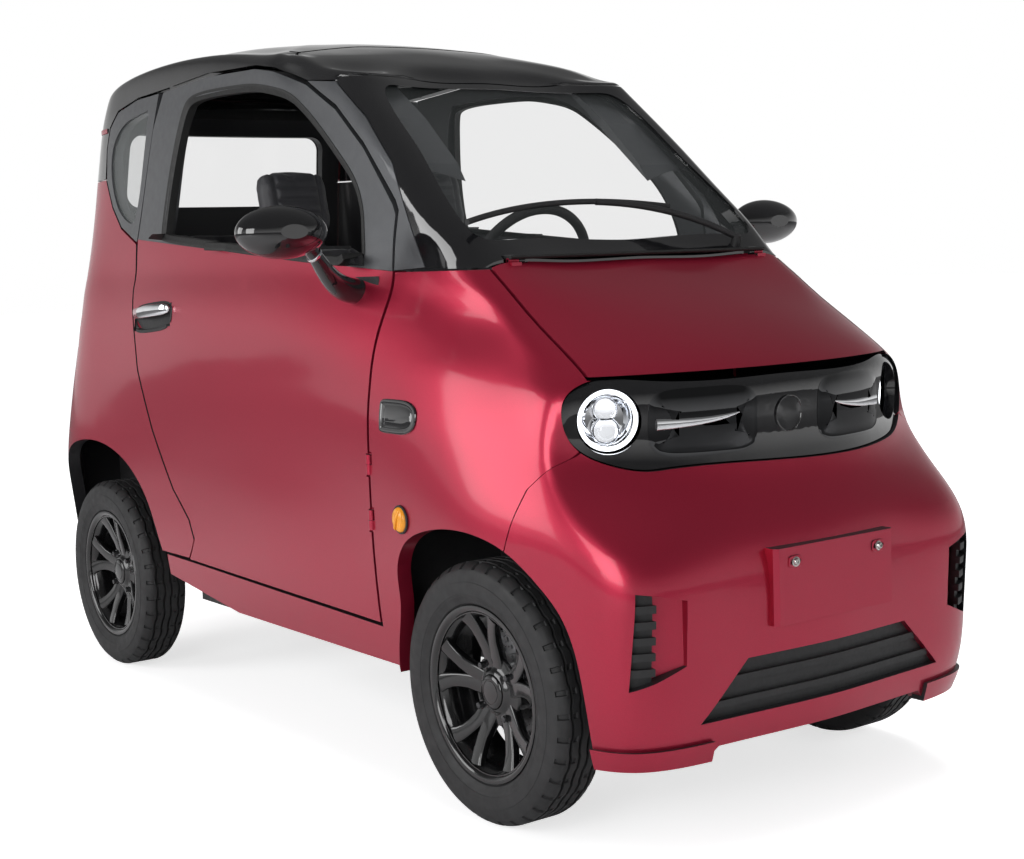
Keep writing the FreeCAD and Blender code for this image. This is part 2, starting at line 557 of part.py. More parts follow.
for y in (-240, 240):
    s = 1 if y > 0 else -1
    near, far = y - s * 12.6, y - s * 28
    lug = cyl(11.0, V(GATE_X, near, GATE_Z), V(GATE_X, far, GATE_Z))
    lug = lug.fuse(box(-1924, -1894, min(near, far), max(near, far), GATE_Z, GATE_Z + 32))
    pin = cyl(GATE_PIN_R, V(GATE_X, y + s * 12, GATE_Z), V(GATE_X, far, GATE_Z))
    gate = gate.cut(cyl(16.5, V(GATE_X, y - s * 12.1, GATE_Z), V(GATE_X, y - s * 33, GATE_Z)))
    roof = roof.cut(cyl(16.5, V(GATE_X, y - s * 12.1, GATE_Z), V(GATE_X, y + s * 17, GATE_Z))).fuse([lug, pin])
NODES["roof_panel"] = biggest(roof)
put("tailgate", gate)
put("rear_window", GLASS.common(rear_pane))

# Tail lamps in the rear corners
lamp_poly = [(-492, 862), (-398, 862), (-394, 1052), (-484, 1060)]
tail = hollow(2.0, 26.0).common(poly(lamp_poly, "yz", front(-2300), front(-1872)))
tail_gap = poly([(-700, 858), (-395, 858), (-391, 1056), (-700, 1064)], "yz", front(-2300), front(-1868))
pair("tail_lamp", tail)
for side in ("right", "left"):
    hole = tail_gap if side == "right" else mirror(tail_gap)
    NODES["quarter_panel_" + side] = biggest(NODES["quarter_panel_" + side].cut(hole))

# Headlamps set into the lamp band
LAMP = V(front(214), -350, 767)
LAMP_WAY = V(0.80, -0.60, 0.0)
LAMP_WAY.normalize()
lamp_hole = Part.makeCylinder(58.4, 120, LAMP - LAMP_WAY * 60, LAMP_WAY)
lamp_body = Part.makeCylinder(58.0, 40, LAMP - LAMP_WAY * 34, LAMP_WAY)
lamp_body = lamp_body.fuse(Part.makeCylinder(63.0, 8, LAMP - LAMP_WAY * 42, LAMP_WAY))
halo = Part.makeTorus(51.0, 5.0, LAMP + LAMP_WAY * 6, LAMP_WAY)
bulb = Part.makeSphere(34.0, LAMP - LAMP_WAY * 12)
pair("headlamp", lamp_body.fuse([halo, bulb]))
NODES["lamp_band"] = NODES["lamp_band"].cut([lamp_hole, mirror(lamp_hole)])
for side in ("right", "left"):
    NODES["lamp_band"] = biggest(NODES["lamp_band"].cut(NODES["headlamp_" + side]))

# Mirrors on the doors
MIRROR = V(front(-388), -662, 1128)
necks = []
for x, y, z, r, way in ((-432, -458, 1004, 25, (0, -1, 0.15)), (-428, -520, 1022, 24, (0.1, -1, 0.5)),
                        (-412, -556, 1050, 19, (0.25, -1, 0.85)), (-396, -588, 1082, 15, (0.25, -1, 0.9)),
                        (-384, -622, 1110, 13, (0.2, -1, 0.7))):
    necks.append(Part.Wire([Part.makeCircle(r, V(front(x), y, z), V(*way))]))
arm = Part.makeLoft(necks, True, False)
bowl = []
for x, wide, high in ((-14, 96, 50), (4, 98, 52), (20, 91, 47), (34, 76, 38), (45, 54, 26), (51, 30, 14)):
    bowl.append(Part.Wire([Part.Ellipse(V(x, wide, 0), V(x, 0, high), V(x, 0, 0)).toShape()]))
shell = Part.makeLoft(bowl, True, False)
shell.translate(MIRROR)
right_mirror = arm.fuse(shell)
pair("mirror", right_mirror.cut(NODES["door_right"]))

# Wheels, built with the hub at the origin and the outer face to +Y
def ring(points):
    """Solid of revolution about Y from (radius, y) points."""
    pts = [V(r, y, 0) for r, y in points]
    face = Part.Face(Part.makePolygon(pts + [pts[0]]))
    return face.revolve(V(0, 0, 0), V(0, 1, 0), 360)


def tyre_shape():
    """Plain tyre seated on the rim's barrel between its flanges."""
    half = [(BEAD_R, 15.3), (170, 15.3), (181, 7), (200, 1), (222, 0), (237, 5), (246, 15), (TYRE_R, 26)]
    outer = [(r, TYRE_OUT + TYRE_HALF - d) for r, d in half]
    return ring(outer + [(r, 2 * TYRE_OUT - y) for r, y in reversed(outer)])


def rim_shape():
    """Rim with five forked spokes, hub and blind spindle bore."""
    barrel = ring([(142, -40), (LIP_R, -40), (LIP_R, -37), (BEAD_R, -37), (BEAD_R, 57), (LIP_R, 57), (LIP_R, 61),
                   (164, 63), (150, 60), (142, 50)])
    dish = ring([(30, 26), (58, 28), (84, 35), (120, 42), (147, 46), (147, 26), (120, 20), (84, 14), (30, 4)])
    fork = []
    for k in range(5):
        mid = math.radians(23.2 + 72 * k)
        base = []
        for r, a in ((40, -26), (62, -18), (90, -15.5), (120, -17.5), (150, -20), (150, -10), (120, -7.0), (96, -4.2),
                     (89, 0), (96, 4.2), (120, 7.0), (150, 10), (150, 20), (120, 17.5), (90, 15.5), (62, 18), (40, 26)):
            t = mid + math.radians(a)
            base.append(V(r * math.cos(t), 0, r * math.sin(t)))
        fork.append(Part.Face(Part.makePolygon(base + [base[0]])).extrude(V(0, 80, 0)))
    spokes = dish.common(fork[0].fuse(fork[1:]))
    hub = cyl(46, V(0, -28, 0), V(0, 26, 0)).fuse([cyl(38, V(0, -40, 0), V(0, -28, 0)), cyl(33, V(0, 20, 0), V(0, 32, 0))])
    rim = barrel.fuse([spokes, hub])
    for k in range(4):
        t = math.radians(37.5 + 90 * k)
        nut = cyl(8.5, V(57 * math.cos(t), 20, 57 * math.sin(t)), V(57 * math.cos(t), 36, 57 * math.sin(t)))
        rim = rim.fuse(nut)
    return rim.cut(cyl(SPINDLE_R + RUN, V(0, -60, 0), V(0, 16, 0)))


def disc_shape():
    """Brake disc on the inner shoulder of the hub."""
    return cyl(112, V(0, -36, 0), V(0, -28, 0)).cut(cyl(38, V(0, -60, 0), V(0, 0, 0)))


def place(shape, x, side):
    """Hub-centred solid moved to one wheel; side is right or left."""
    out = shape.copy()
    if side == "right":
        out = out.mirror(V(0, 0, 0), V(0, 1, 0))
    s = -1 if side == "right" else 1
    out.translate(V(x, s * HALF_TRACK, HUB_Z))
    return out


TYRE, RIM, DISC = tyre_shape(), biggest(rim_shape()), disc_shape()
for end, x in (("front", XF), ("rear", XR)):
    for side in ("right", "left"):
        put("tyre_" + end + "_" + side, place(TYRE, x, side))
        put("rim_" + end + "_" + side, place(RIM, x, side))
        put("brake_disc_" + end + "_" + side, place(DISC, x, side))

# Steering knuckles about the upright king pins
KY = KING_Y - HALF_TRACK
post = cyl(17, V(0, KY, -104), V(0, KY, 104))
knuckle = post.fuse([cyl(36, V(0, KY - 16, 0), V(0, KY + 18, 0)), cyl(SPINDLE_R, V(0, KY, 0), V(0, 12, 0)),
                     Part.makeBox(100, 16, 20, V(-108, KY - 8, -14))])
grip = Part.makeBox(46, 34, 70, V(78, -50, -14)).cut(Part.makeBox(60, 19, 90, V(60, -41, -24)))
arm_in = Part.makeBox(70, 12, 24, V(14, KY + 2, 0)).fuse(Part.makeBox(14, 24, 24, V(78, KY + 2, 0)))
knuckle = knuckle.fuse([grip, arm_in])
knuckle = knuckle.cut([cyl(KING_R + RUN, V(0, KY, 80), V(0, KY, 120)), cyl(KING_R + RUN, V(0, KY, -120), V(0, KY, -80))])
for side in ("right", "left"):
    put("knuckle_" + side, place(biggest(knuckle), XF, side))

# Front suspension in one with its cross member
beam = box(-70, 70, -215, 215, 168, 231.7)
for s in (-1, 1):
    low = cyl(13, V(XF, s * KING_Y, 122), V(XF, s * KING_Y, 140)).fuse(cyl(KING_R, V(XF, s * KING_Y, 130), V(XF, s * KING_Y, 162)))
    top = cyl(13, V(XF, s * KING_Y, 360), V(XF, s * KING_Y, 378)).fuse(cyl(KING_R, V(XF, s * KING_Y, 336), V(XF, s * KING_Y, 370)))
    arms = [rod(9, [V(XF, s * KING_Y, 131), V(XF + 60, s * 205, 180)]), rod(9, [V(XF, s * KING_Y, 131), V(XF - 60, s * 205, 180)]),
            rod(9, [V(XF, s * KING_Y, 369), V(XF, s * 300, 378)]), cyl(18, V(XF, s * 302, 366), V(XF, s * 266, 520)),
            cyl(26, V(XF, s * 289, 440), V(XF, s * 269, 558)), cyl(28, V(XF, s * 268, 556), V(XF, s * 266, 572)),
            box(-30, 30, min(s * 213.3, s * 222), max(s * 213.3, s * 222), 170, 572),
            box(-30, 30, min(s * 213.3, s * 262), max(s * 213.3, s * 262), 558, 572)]
    low = low.fuse(box(-30, 30, min(s * 200, s * 222), max(s * 200, s * 222), 168, 231))
    beam = beam.fuse([low, top] + arms)
rack = cyl(17, V(XF - 105, -190, 211), V(XF - 105, 190, 211)).fuse(box(-110, -60, -150, 150, 180, 222))
put("front_suspension", beam.fuse(rack))

# Rear axle with the motor block
axle = cyl(30, V(XR, -345, HUB_Z), V(XR, 345, HUB_Z))
axle = axle.fuse([cyl(SPINDLE_R, V(XR, -HALF_TRACK - 12, HUB_Z), V(XR, HALF_TRACK + 12, HUB_Z)),
                  cyl(104, V(XR, -120, HUB_Z + 10), V(XR, 90, HUB_Z + 10)),
                  cyl(78, V(XR, 60, HUB_Z), V(XR, 130, HUB_Z)),
                  Part.makeBox(150, 160, 120, V(XR + 20, -90, HUB_Z - 60))])
for s in (-1, 1):
    spring = Part.makeBox(560, 46, 16, V(XR - 280, s * 256 - 23, 208))
    damper = [cyl(13, V(XR - 40, s * 300, 236), V(XR + 60, s * 300, 440)), cyl(24, V(XR - 2, s * 300, 310), V(XR + 55, s * 300, 430))]
    ends = [Part.makeBox(24, 46, 93.7, V(XR - 294, s * 256 - 23, 208)), Part.makeBox(24, 46, 93.7, V(XR + 176, s * 256 - 23, 208))]
    axle = axle.fuse([spring] + damper + ends + [Part.makeBox(60, 60, 60, V(XR - 30, s * 256 - 30, 210))])
put("rear_axle", axle)

# Chassis frame of box tube
rails = []
for s in (-1, 1):
    rails.append(box(-1330, 330, min(s * 165, s * 213), max(s * 165, s * 213), 232, 282))
    rails.append(box(-2030, -1290, min(s * 168, s * 214), max(s * 168, s * 214), 302, 348))
    rails.append(box(-1345, -1290, min(s * 165, s * 214), max(s * 165, s * 214), 232, 348))
    rails.append(box(-1260, -340, min(s * 400, s * 440), max(s * 400, s * 440), 232, 272))
cross = [box(300, 340, -320, 320, 232, 292), box(-380, -340, -440, 440, 232, 272), box(-1300, -1250, -440, 440, 232, 272),
         box(-2030, -1990, -300, 300, 302, 348), box(-1560, -1520, -300, 300, 302, 348)]
frame_solid = rails[0].fuse(rails[1:] + cross)
put("chassis_frame", frame_solid)

# Battery block under the floor
put("battery_box", box(-1200, -440, -160, 160, 178, 272).fuse(box(-1190, -450, -164.7, 164.7, 236, 256)))

# Floor, wheel housings and bulkheads in one tub
tub = box(-1278, -296, -462, 462, 284, 300)
tub = tub.fuse([box(-312, -296, -440, 440, 284, 800), box(-312, 330, -232, 232, 590, 604), box(-296, 330, -232, -226, 300, 600),
                box(-296, 330, 226, 232, 300, 600), box(-1278, -1262, -462, 462, 284, 642), box(-2010, -1262, -340, 340, 626, 642),
                box(-2010, -1996, -340, 340, 360, 642)])
for s in (-1, 1):
    y0, y1 = min(s * 230, s * 486), max(s * 230, s * 486)
    tub = tub.fuse([box(-306, 372, y0, y1, 590, 604), box(-306, -294, y0, y1, 300, 604)])
    y0, y1 = min(s * 336, s * 484), max(s * 336, s * 484)
    tub = tub.fuse([box(-2010, -1262, y0, y1, 640, 654), box(-2010, -1262, min(s * 332, s * 340), max(s * 332, s * 340), 356, 654)])
tub = tub.cut([box(-33, 33, -236, -222, 554, 576), box(-33, 33, 222, 236, 554, 576)])
put("floor_tub", tub.common(skin(WALL + 1.0)))

# Seats
def bucket(y):
    """One front seat centred on y."""
    cushion = box(-1010, -560, y - 205, y + 205, 480, 580)
    base = box(-960, -620, y - 150, y + 150, 300, 482)
    side = [(-960, 560), (-1050, 560), (-1190, 1130), (-1105, 1140)]
    back = poly(side, "xz", y - 200, y + 200)
    head = poly([(-1100, 1130), (-1190, 1120), (-1200, 1290), (-1120, 1300)], "xz", y - 100, y + 100)
    return cushion.fuse([base, back, head])


seats = bucket(-205).fuse([bucket(205), box(-960, -620, -60, 60, 300, 420)])
put("front_seats", seats)
bench = box(-1760, -1380, -420, 420, 654.3, 740).fuse(poly([(-1700, 700), (-1800, 700), (-1850, 1180), (-1770, 1190)],
                                                         "xz", -300, 300))
put("rear_seat", bench)

# Dashboard with the column's bearing
dash = poly([(-240, 802), (-500, 802), (-520, 900), (-470, 990), (-300, 1035), (-240, 1035)], "xz", -400, 400)
WHEEL_AT = V(front(-734), 200, 1020)
COLUMN = V(0.906, 0, -0.423)
column = cyl(24, WHEEL_AT + COLUMN * 120, WHEEL_AT + COLUMN * 330)
dash = dash.fuse([column, box(-330, -312.3, -300, 300, 700, 810)])
dash = dash.cut(cyl(11 + RUN, WHEEL_AT + COLUMN * 60, WHEEL_AT + COLUMN * 240))
put("dashboard", dash)
wheel = Part.makeTorus(172, 13, WHEEL_AT, COLUMN).fuse([cyl(11, WHEEL_AT, WHEEL_AT + COLUMN * 230), cyl(44, WHEEL_AT + COLUMN * 18, WHEEL_AT + COLUMN * 60)])
for way in (V(0, 1, 0), V(0, -1, 0), V(-0.423, 0, -0.906)):
    wheel = wheel.fuse(cyl(10, WHEEL_AT + COLUMN * 36, WHEEL_AT + way * 170))
put("steering_wheel", wheel)

# Wiper on the cowl
pivot = V(front(-112), 286, 1050)
wiper = cyl(11, pivot, V(front(-98), 286, 1094)).fuse([
    rod(7, [V(front(-100), 286, 1090), V(front(-120), 200, 1126), V(front(-184), -35, 1172)]),
    rod(6, [V(front(-134), -398, 1134), V(front(-184), -100, 1172), V(front(-168), 153, 1160)])])
NODES["screen_frame"] = NODES["screen_frame"].cut(cyl(11.3, V(front(-116), 286, 1037), V(front(-98), 286, 1094)))
put("wiper", wiper)

# Like pieces on the body share a node
for shared, names in (("headlamps", ("headlamp_right", "headlamp_left")), ("tail_lamps", ("tail_lamp_right", "tail_lamp_left")),
                      ("grilles", ("lower_grille", "vent_right", "vent_left")),
                      ("pillar_trims", ("pillar_trim_right", "pillar_trim_left")),
                      ("quarter_surrounds", ("quarter_surround_right", "quarter_surround_left")),
                      ("quarter_glasses", ("quarter_glass_right", "quarter_glass_left")),
                      ("quarter_panels", ("quarter_panel_right", "quarter_panel_left")),
                      ("wings", ("wing_right", "wing_left"))):
    NODES[shared] = Part.makeCompound([NODES.pop(name) for name in names])

os.makedirs("parts", exist_ok=True)
for name, shape in NODES.items():
    if not shape.isValid() or not shape.Solids:
        raise ValueError(name + " is not made of valid solids")
    shape.exportStep("parts/" + name + ".step")
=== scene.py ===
"""Looks of a two-door electric microcar over its packed construction.

The car is dressed one sub-assembly at a time: painted panels, glazing, black
trim, lamps, wheels, cabin and running gear.  All lengths are in metres in the
car's own frame, X forward, Y to the car's left and Z up from the ground.
"""

from __future__ import annotations

import json
import logging
import math
from dataclasses import dataclass, field
from enum import Enum

import bmesh
import bpy
from mathutils import Matrix, Vector
from mathutils.bvhtree import BVHTree

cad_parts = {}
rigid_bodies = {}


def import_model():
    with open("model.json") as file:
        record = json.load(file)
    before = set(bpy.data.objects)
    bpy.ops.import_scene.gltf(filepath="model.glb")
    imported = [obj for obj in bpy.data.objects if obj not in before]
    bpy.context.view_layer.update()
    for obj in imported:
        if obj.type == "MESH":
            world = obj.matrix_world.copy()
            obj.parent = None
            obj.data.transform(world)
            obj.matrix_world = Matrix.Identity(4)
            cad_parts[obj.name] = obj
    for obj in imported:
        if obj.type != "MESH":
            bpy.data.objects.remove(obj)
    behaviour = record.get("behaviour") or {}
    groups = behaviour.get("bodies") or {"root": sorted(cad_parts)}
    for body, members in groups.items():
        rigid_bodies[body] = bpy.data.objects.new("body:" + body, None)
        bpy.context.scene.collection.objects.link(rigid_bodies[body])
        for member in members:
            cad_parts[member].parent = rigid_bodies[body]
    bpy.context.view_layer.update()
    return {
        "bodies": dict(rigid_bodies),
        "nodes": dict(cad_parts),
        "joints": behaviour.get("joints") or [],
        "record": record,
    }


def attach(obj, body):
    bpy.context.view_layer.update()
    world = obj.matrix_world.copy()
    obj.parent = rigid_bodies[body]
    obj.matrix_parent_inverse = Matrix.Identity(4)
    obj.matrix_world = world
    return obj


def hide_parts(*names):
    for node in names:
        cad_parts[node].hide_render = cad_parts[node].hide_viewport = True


log = logging.getLogger("microcar")

FRONT_AXLE = 0.835
REAR_AXLE = -0.895
HALF_TRACK = 0.441
HUB_HEIGHT = 0.250
MERGE = 0.00002
WHITE = (1.0, 1.0, 1.0, 1.0)
FORWARD = Vector((1.0, 0.0, 0.0))
LEFTWARD = Vector((0.0, 1.0, 0.0))
UP = Vector((0.0, 0.0, 1.0))


class Side(Enum):
    """The two sides of the car, each with the sign of its Y."""

    RIGHT = -1.0
    LEFT = 1.0

    @property
    def word(self) -> str:
        """Name of the side as the nodes spell it."""
        return self.name.lower()


class Pattern(Enum):
    """Ways a surface's fine relief can be laid out."""

    GRAIN = "grain"
    BRUSHED = "brushed"
    CAST = "cast"


def at(x: float, y: float, z: float) -> Vector:
    """Point given from the middle of the front axle on the ground."""
    return Vector((FRONT_AXLE + x, y, z))


class Tree:
    """Shader nodes and the links between them."""

    def __init__(self, tree: bpy.types.NodeTree) -> None:
        """Keep the node tree."""
        self.tree = tree

    def node(self, kind: str, **values: object) -> bpy.types.Node:
        """Add a node and set its properties or its sockets by name.

        Args:
            kind: Blender's name of the node type.
            **values: Properties, or sockets with underscores for spaces.

        Returns:
            The new node.
        """
        made = self.tree.nodes.new(kind)
        for key, value in values.items():
            if hasattr(made, key):
                setattr(made, key, value)
            else:
                made.inputs[key.replace("_", " ")].default_value = value
        return made

    def link(self, source: bpy.types.NodeSocket, target: bpy.types.NodeSocket) -> None:
        """Join two sockets."""
        self.tree.links.new(source, target)

    def remap(self, value: bpy.types.NodeSocket, start: tuple[float, float],
              end: tuple[float, float]) -> bpy.types.NodeSocket:
        """Map a value's range onto another range.

        Args:
            value: Socket to read.
            start: Range of the value.
            end: Range of the result.

        Returns:
            The mapped socket.
        """
        made = self.node("ShaderNodeMapRange", From_Min=start[0], From_Max=start[1], To_Min=end[0],
                         To_Max=end[1])
        self.link(value, made.inputs["Value"])
        return made.outputs["Result"]

    def eye_rays(self) -> bpy.types.NodeSocket:
        """Socket that is 1 for rays seen directly or through glass."""
        path = self.node("ShaderNodeLightPath")
        either = self.node("ShaderNodeMath", operation="MAXIMUM")
        self.link(path.outputs["Is Camera Ray"], either.inputs[0])
        self.link(path.outputs["Is Transmission Ray"], either.inputs[1])
        return either.outputs[0]


class Graph(Tree):
    """Node tree of one material, with its Principled shader at hand."""

    def __init__(self, name: str) -> None:
        """Start a material that holds only a shader and an output."""
        self.material = bpy.data.materials.new(name)
        self.material.use_nodes = True
        super().__init__(self.material.node_tree)
        self.shader = self.tree.nodes["Principled BSDF"]

    def surface(self, **values: object) -> None:
        """Set the shader's own sockets by name, with underscores for spaces."""
        for key, value in values.items():
            self.shader.inputs[key.replace("_", " ")].default_value = value

    def place(self, scale: tuple[float, float, float] = (1.0, 1.0, 1.0)) -> bpy.types.NodeSocket:
        """Object coordinates stretched by a scale along each axis."""
        mapping = self.node("ShaderNodeMapping", Scale=scale)
        self.link(self.node("ShaderNodeTexCoord").outputs["Object"], mapping.inputs["Vector"])
        return mapping.outputs["Vector"]

    def noise(self, where: bpy.types.NodeSocket, scale: float, detail: float = 4.0) -> bpy.types.NodeSocket:
        """Noise read at a place.

        Args:
            where: Vector socket to read.
            scale: Cells per metre.
            detail: Octaves of finer noise.

        Returns:
            The factor socket.
        """
        made = self.node("ShaderNodeTexNoise", Scale=scale, Detail=detail)
        self.link(where, made.inputs["Vector"])
        return made.outputs["Fac"]

    def rough(self, where: bpy.types.NodeSocket, scale: float, low: float, high: float,
              detail: float = 4.0) -> None:
        """Vary the roughness over the surface.

        Args:
            where: Vector socket to read.
            scale: Cells per metre.
            low: Roughness where the noise is 0.25.
            high: Roughness where the noise is 0.75.
            detail: Octaves of finer noise.
        """
        fac = self.remap(self.noise(where, scale, detail), (0.25, 0.75), (low, high))
        self.link(fac, self.shader.inputs["Roughness"])

    def relief(self, height: bpy.types.NodeSocket, distance: float, strength: float = 1.0) -> None:
        """Bump the shader's normal.

        Args:
            height: Height socket.
            distance: Depth of the relief in metres.
            strength: Share of the relief that shows.
        """
        made = self.node("ShaderNodeBump", Distance=distance, Strength=strength)
        self.link(height, made.inputs["Height"])
        self.link(made.outputs["Normal"], self.shader.inputs["Normal"])

    def line_inside(self, colour: tuple[float, float, float]) -> None:
        """Give faces that look towards the cabin's middle a plain trim colour."""
        out = self.node("ShaderNodeVectorMath", operation="SUBTRACT")
        self.link(self.node("ShaderNodeTexCoord").outputs["Object"], out.inputs[0])
        out.inputs[1].default_value = (-0.10, 0.0, 0.75)
        dot = self.node("ShaderNodeVectorMath", operation="DOT_PRODUCT")
        self.link(out.outputs[0], dot.inputs[0])
        self.link(self.node("ShaderNodeNewGeometry").outputs["True Normal"], dot.inputs[1])
        inward = self.node("ShaderNodeMath", operation="LESS_THAN")
        inward.inputs[1].default_value = -0.04
        self.link(dot.outputs["Value"], inward.inputs[0])
        mix = self.node("ShaderNodeMix", data_type="RGBA")
        self.link(inward.outputs[0], mix.inputs[0])
        self.link(self.shader.inputs["Base Color"].links[0].from_socket, mix.inputs[6])
        mix.inputs[7].default_value = (*colour, 1.0)
        self.link(mix.outputs[2], self.shader.inputs["Base Color"])
        for name in ("Metallic", "Coat Weight"):
            high = self.shader.inputs[name].default_value
            self.link(self.remap(inward.outputs[0], (0.0, 1.0), (high, 0.0)), self.shader.inputs[name])

    def tint(self, colour: tuple[float, float, float], where: bpy.types.NodeSocket, scale: float,
             swing: float) -> None:
        """Vary the base colour a little over the surface.

        Args:
            colour: Mean colour.
            where: Vector socket to read.
            scale: Cells per metre.
            swing: Share by which the colour darkens and lightens.
        """
        made = self.node("ShaderNodeValToRGB")
        for element, position, share in zip(made.color_ramp.elements, (0.3, 0.7), (1.0 - swing, 1.0 + swing)):
            element.position = position
            element.color = (*(min(1.0, c * share) for c in colour), 1.0)
        self.link(self.noise(where, scale), made.inputs["Fac"])
        self.link(made.outputs["Color"], self.shader.inputs["Base Color"])


@dataclass(frozen=True)
class PearlPaint:
    """Metallic pearl lacquer with fine flake under a clear coat, lined black towards the cabin."""

    name: str
    colour: tuple[float, float, float]
    flake: float = 0.72
    roughness: float = 0.36

    def material(self) -> bpy.types.Material:
        """Build the lacquer."""
        graph = Graph(self.name)
        where = graph.place()
        graph.tint(self.colour, where, 900.0, 0.10)
        graph.surface(Metallic=self.flake, Coat_Weight=0.7, Coat_Roughness=0.10, Coat_IOR=1.4)
        graph.line_inside((0.022, 0.022, 0.024))
        graph.rough(where, 1400.0, self.roughness - 0.05, self.roughness + 0.05, 1.0)
        graph.relief(graph.noise(where, 260.0, 2.0), 0.00002, 0.35)
        return graph.material


@dataclass(frozen=True)
class Lacquer:
    """Plain solid lacquer, polished plastic or plated metal."""

    name: str
    colour: tuple[float, float, float]
    roughness: float
    metallic: float = 0.0
    coat: float = 1.0

    def material(self) -> bpy.types.Material:
        """Build the lacquer."""
        graph = Graph(self.name)
        where = graph.place()
        graph.tint(self.colour, where, 40.0, 0.06)
        graph.surface(Metallic=self.metallic, Coat_Weight=self.coat, Coat_Roughness=0.03)
        graph.rough(where, 70.0, self.roughness * 0.85, self.roughness * 1.2, 3.0)
        graph.relief(graph.noise(where, 190.0, 2.0), 0.00002, 0.25)
        return graph.material


@dataclass(frozen=True)
class Grained:
    """Moulded plastic, cast metal or turned metal with its own relief."""

    name: str
    colour: tuple[float, float, float]
    pattern: Pattern = Pattern.GRAIN
    roughness: float = 0.55
    metallic: float = 0.0
    grain: float = 900.0
    depth: float = 0.00012

    def material(self) -> bpy.types.Material:
        """Build the surface."""
        graph = Graph(self.name)
        where = graph.place((1.0, 0.06 if self.pattern is Pattern.BRUSHED else 1.0, 1.0))
        graph.tint(self.colour, graph.place(), 26.0, 0.12)
        graph.surface(Metallic=self.metallic)
        graph.rough(where, 120.0, self.roughness - 0.07, self.roughness + 0.08)
        detail = 8.0 if self.pattern is Pattern.CAST else 3.0
        graph.relief(graph.noise(where, self.grain, detail), self.depth, 0.6)
        return graph.material


@dataclass(frozen=True)
class Tread:
    """Vulcanised rubber, dull with faint dusting."""

    name: str = "tyre_rubber"

    def material(self) -> bpy.types.Material:
        """Build the rubber."""
        graph = Graph(self.name)
        where = graph.place()
        graph.tint((0.022, 0.022, 0.023), where, 34.0, 0.22)
        graph.surface(Specular_IOR_Level=0.42)
        graph.rough(where, 60.0, 0.50, 0.68)
        graph.relief(graph.noise(where, 1500.0, 3.0), 0.0001, 0.5)
        return graph.material


@dataclass(frozen=True)
class Glazing:
    """Clear lens plastic."""

    name: str
    colour: tuple[float, float, float]
    roughness: float
    ior: float = 1.45

    def material(self) -> bpy.types.Material:
        """Build the plastic."""
        graph = Graph(self.name)
        graph.surface(Base_Color=(*self.colour, 1.0), Roughness=self.roughness, IOR=self.ior,
                      Transmission_Weight=1.0)
        return graph.material


@dataclass(frozen=True)
class Pane:
    """Thin window glass that doesn't bend what is seen through it."""

    name: str
    colour: tuple[float, float, float] = (0.10, 0.11, 0.11)
    cover: float = 0.10

    def material(self) -> bpy.types.Material:
        """Build the pane."""
        graph = Graph(self.name)
        where = graph.place()
        graph.tint(self.colour, where, 3.0, 0.08)
        graph.surface(Alpha=self.cover, Specular_IOR_Level=1.0)
        graph.rough(where, 8.0, 0.02, 0.05, 2.0)
        return graph.material


@dataclass(frozen=True)
class Glow:
    """Lit light guide."""

    name: str
    colour: tuple[float, float, float]
    strength: float

    def material(self) -> bpy.types.Material:
        """Build the light guide."""
        graph = Graph(self.name)
        graph.surface(Base_Color=(*self.colour, 1.0), Roughness=0.3, Emission_Color=(*self.colour, 1.0),
                      Emission_Strength=self.strength)
        graph.relief(graph.noise(graph.place(), 300.0, 2.0), 0.0001, 0.3)
        return graph.material


@dataclass(frozen=True)
class Hide:
    """Soft seat cover with a leather grain."""

    name: str = "seat_hide"
    colour: tuple[float, float, float] = (0.035, 0.035, 0.04)

    def material(self) -> bpy.types.Material:
        """Build the cover."""
        graph = Graph(self.name)
        where = graph.place()
        graph.tint(self.colour, where, 18.0, 0.15)
        graph.surface(Specular_IOR_Level=0.45, Sheen_Weight=0.15)
        graph.rough(where, 45.0, 0.42, 0.58)
        cells = graph.node("ShaderNodeTexVoronoi", Scale=420.0)
        graph.link(where, cells.inputs["Vector"])
        graph.relief(cells.outputs["Distance"], 0.0004, 0.5)
        return graph.material


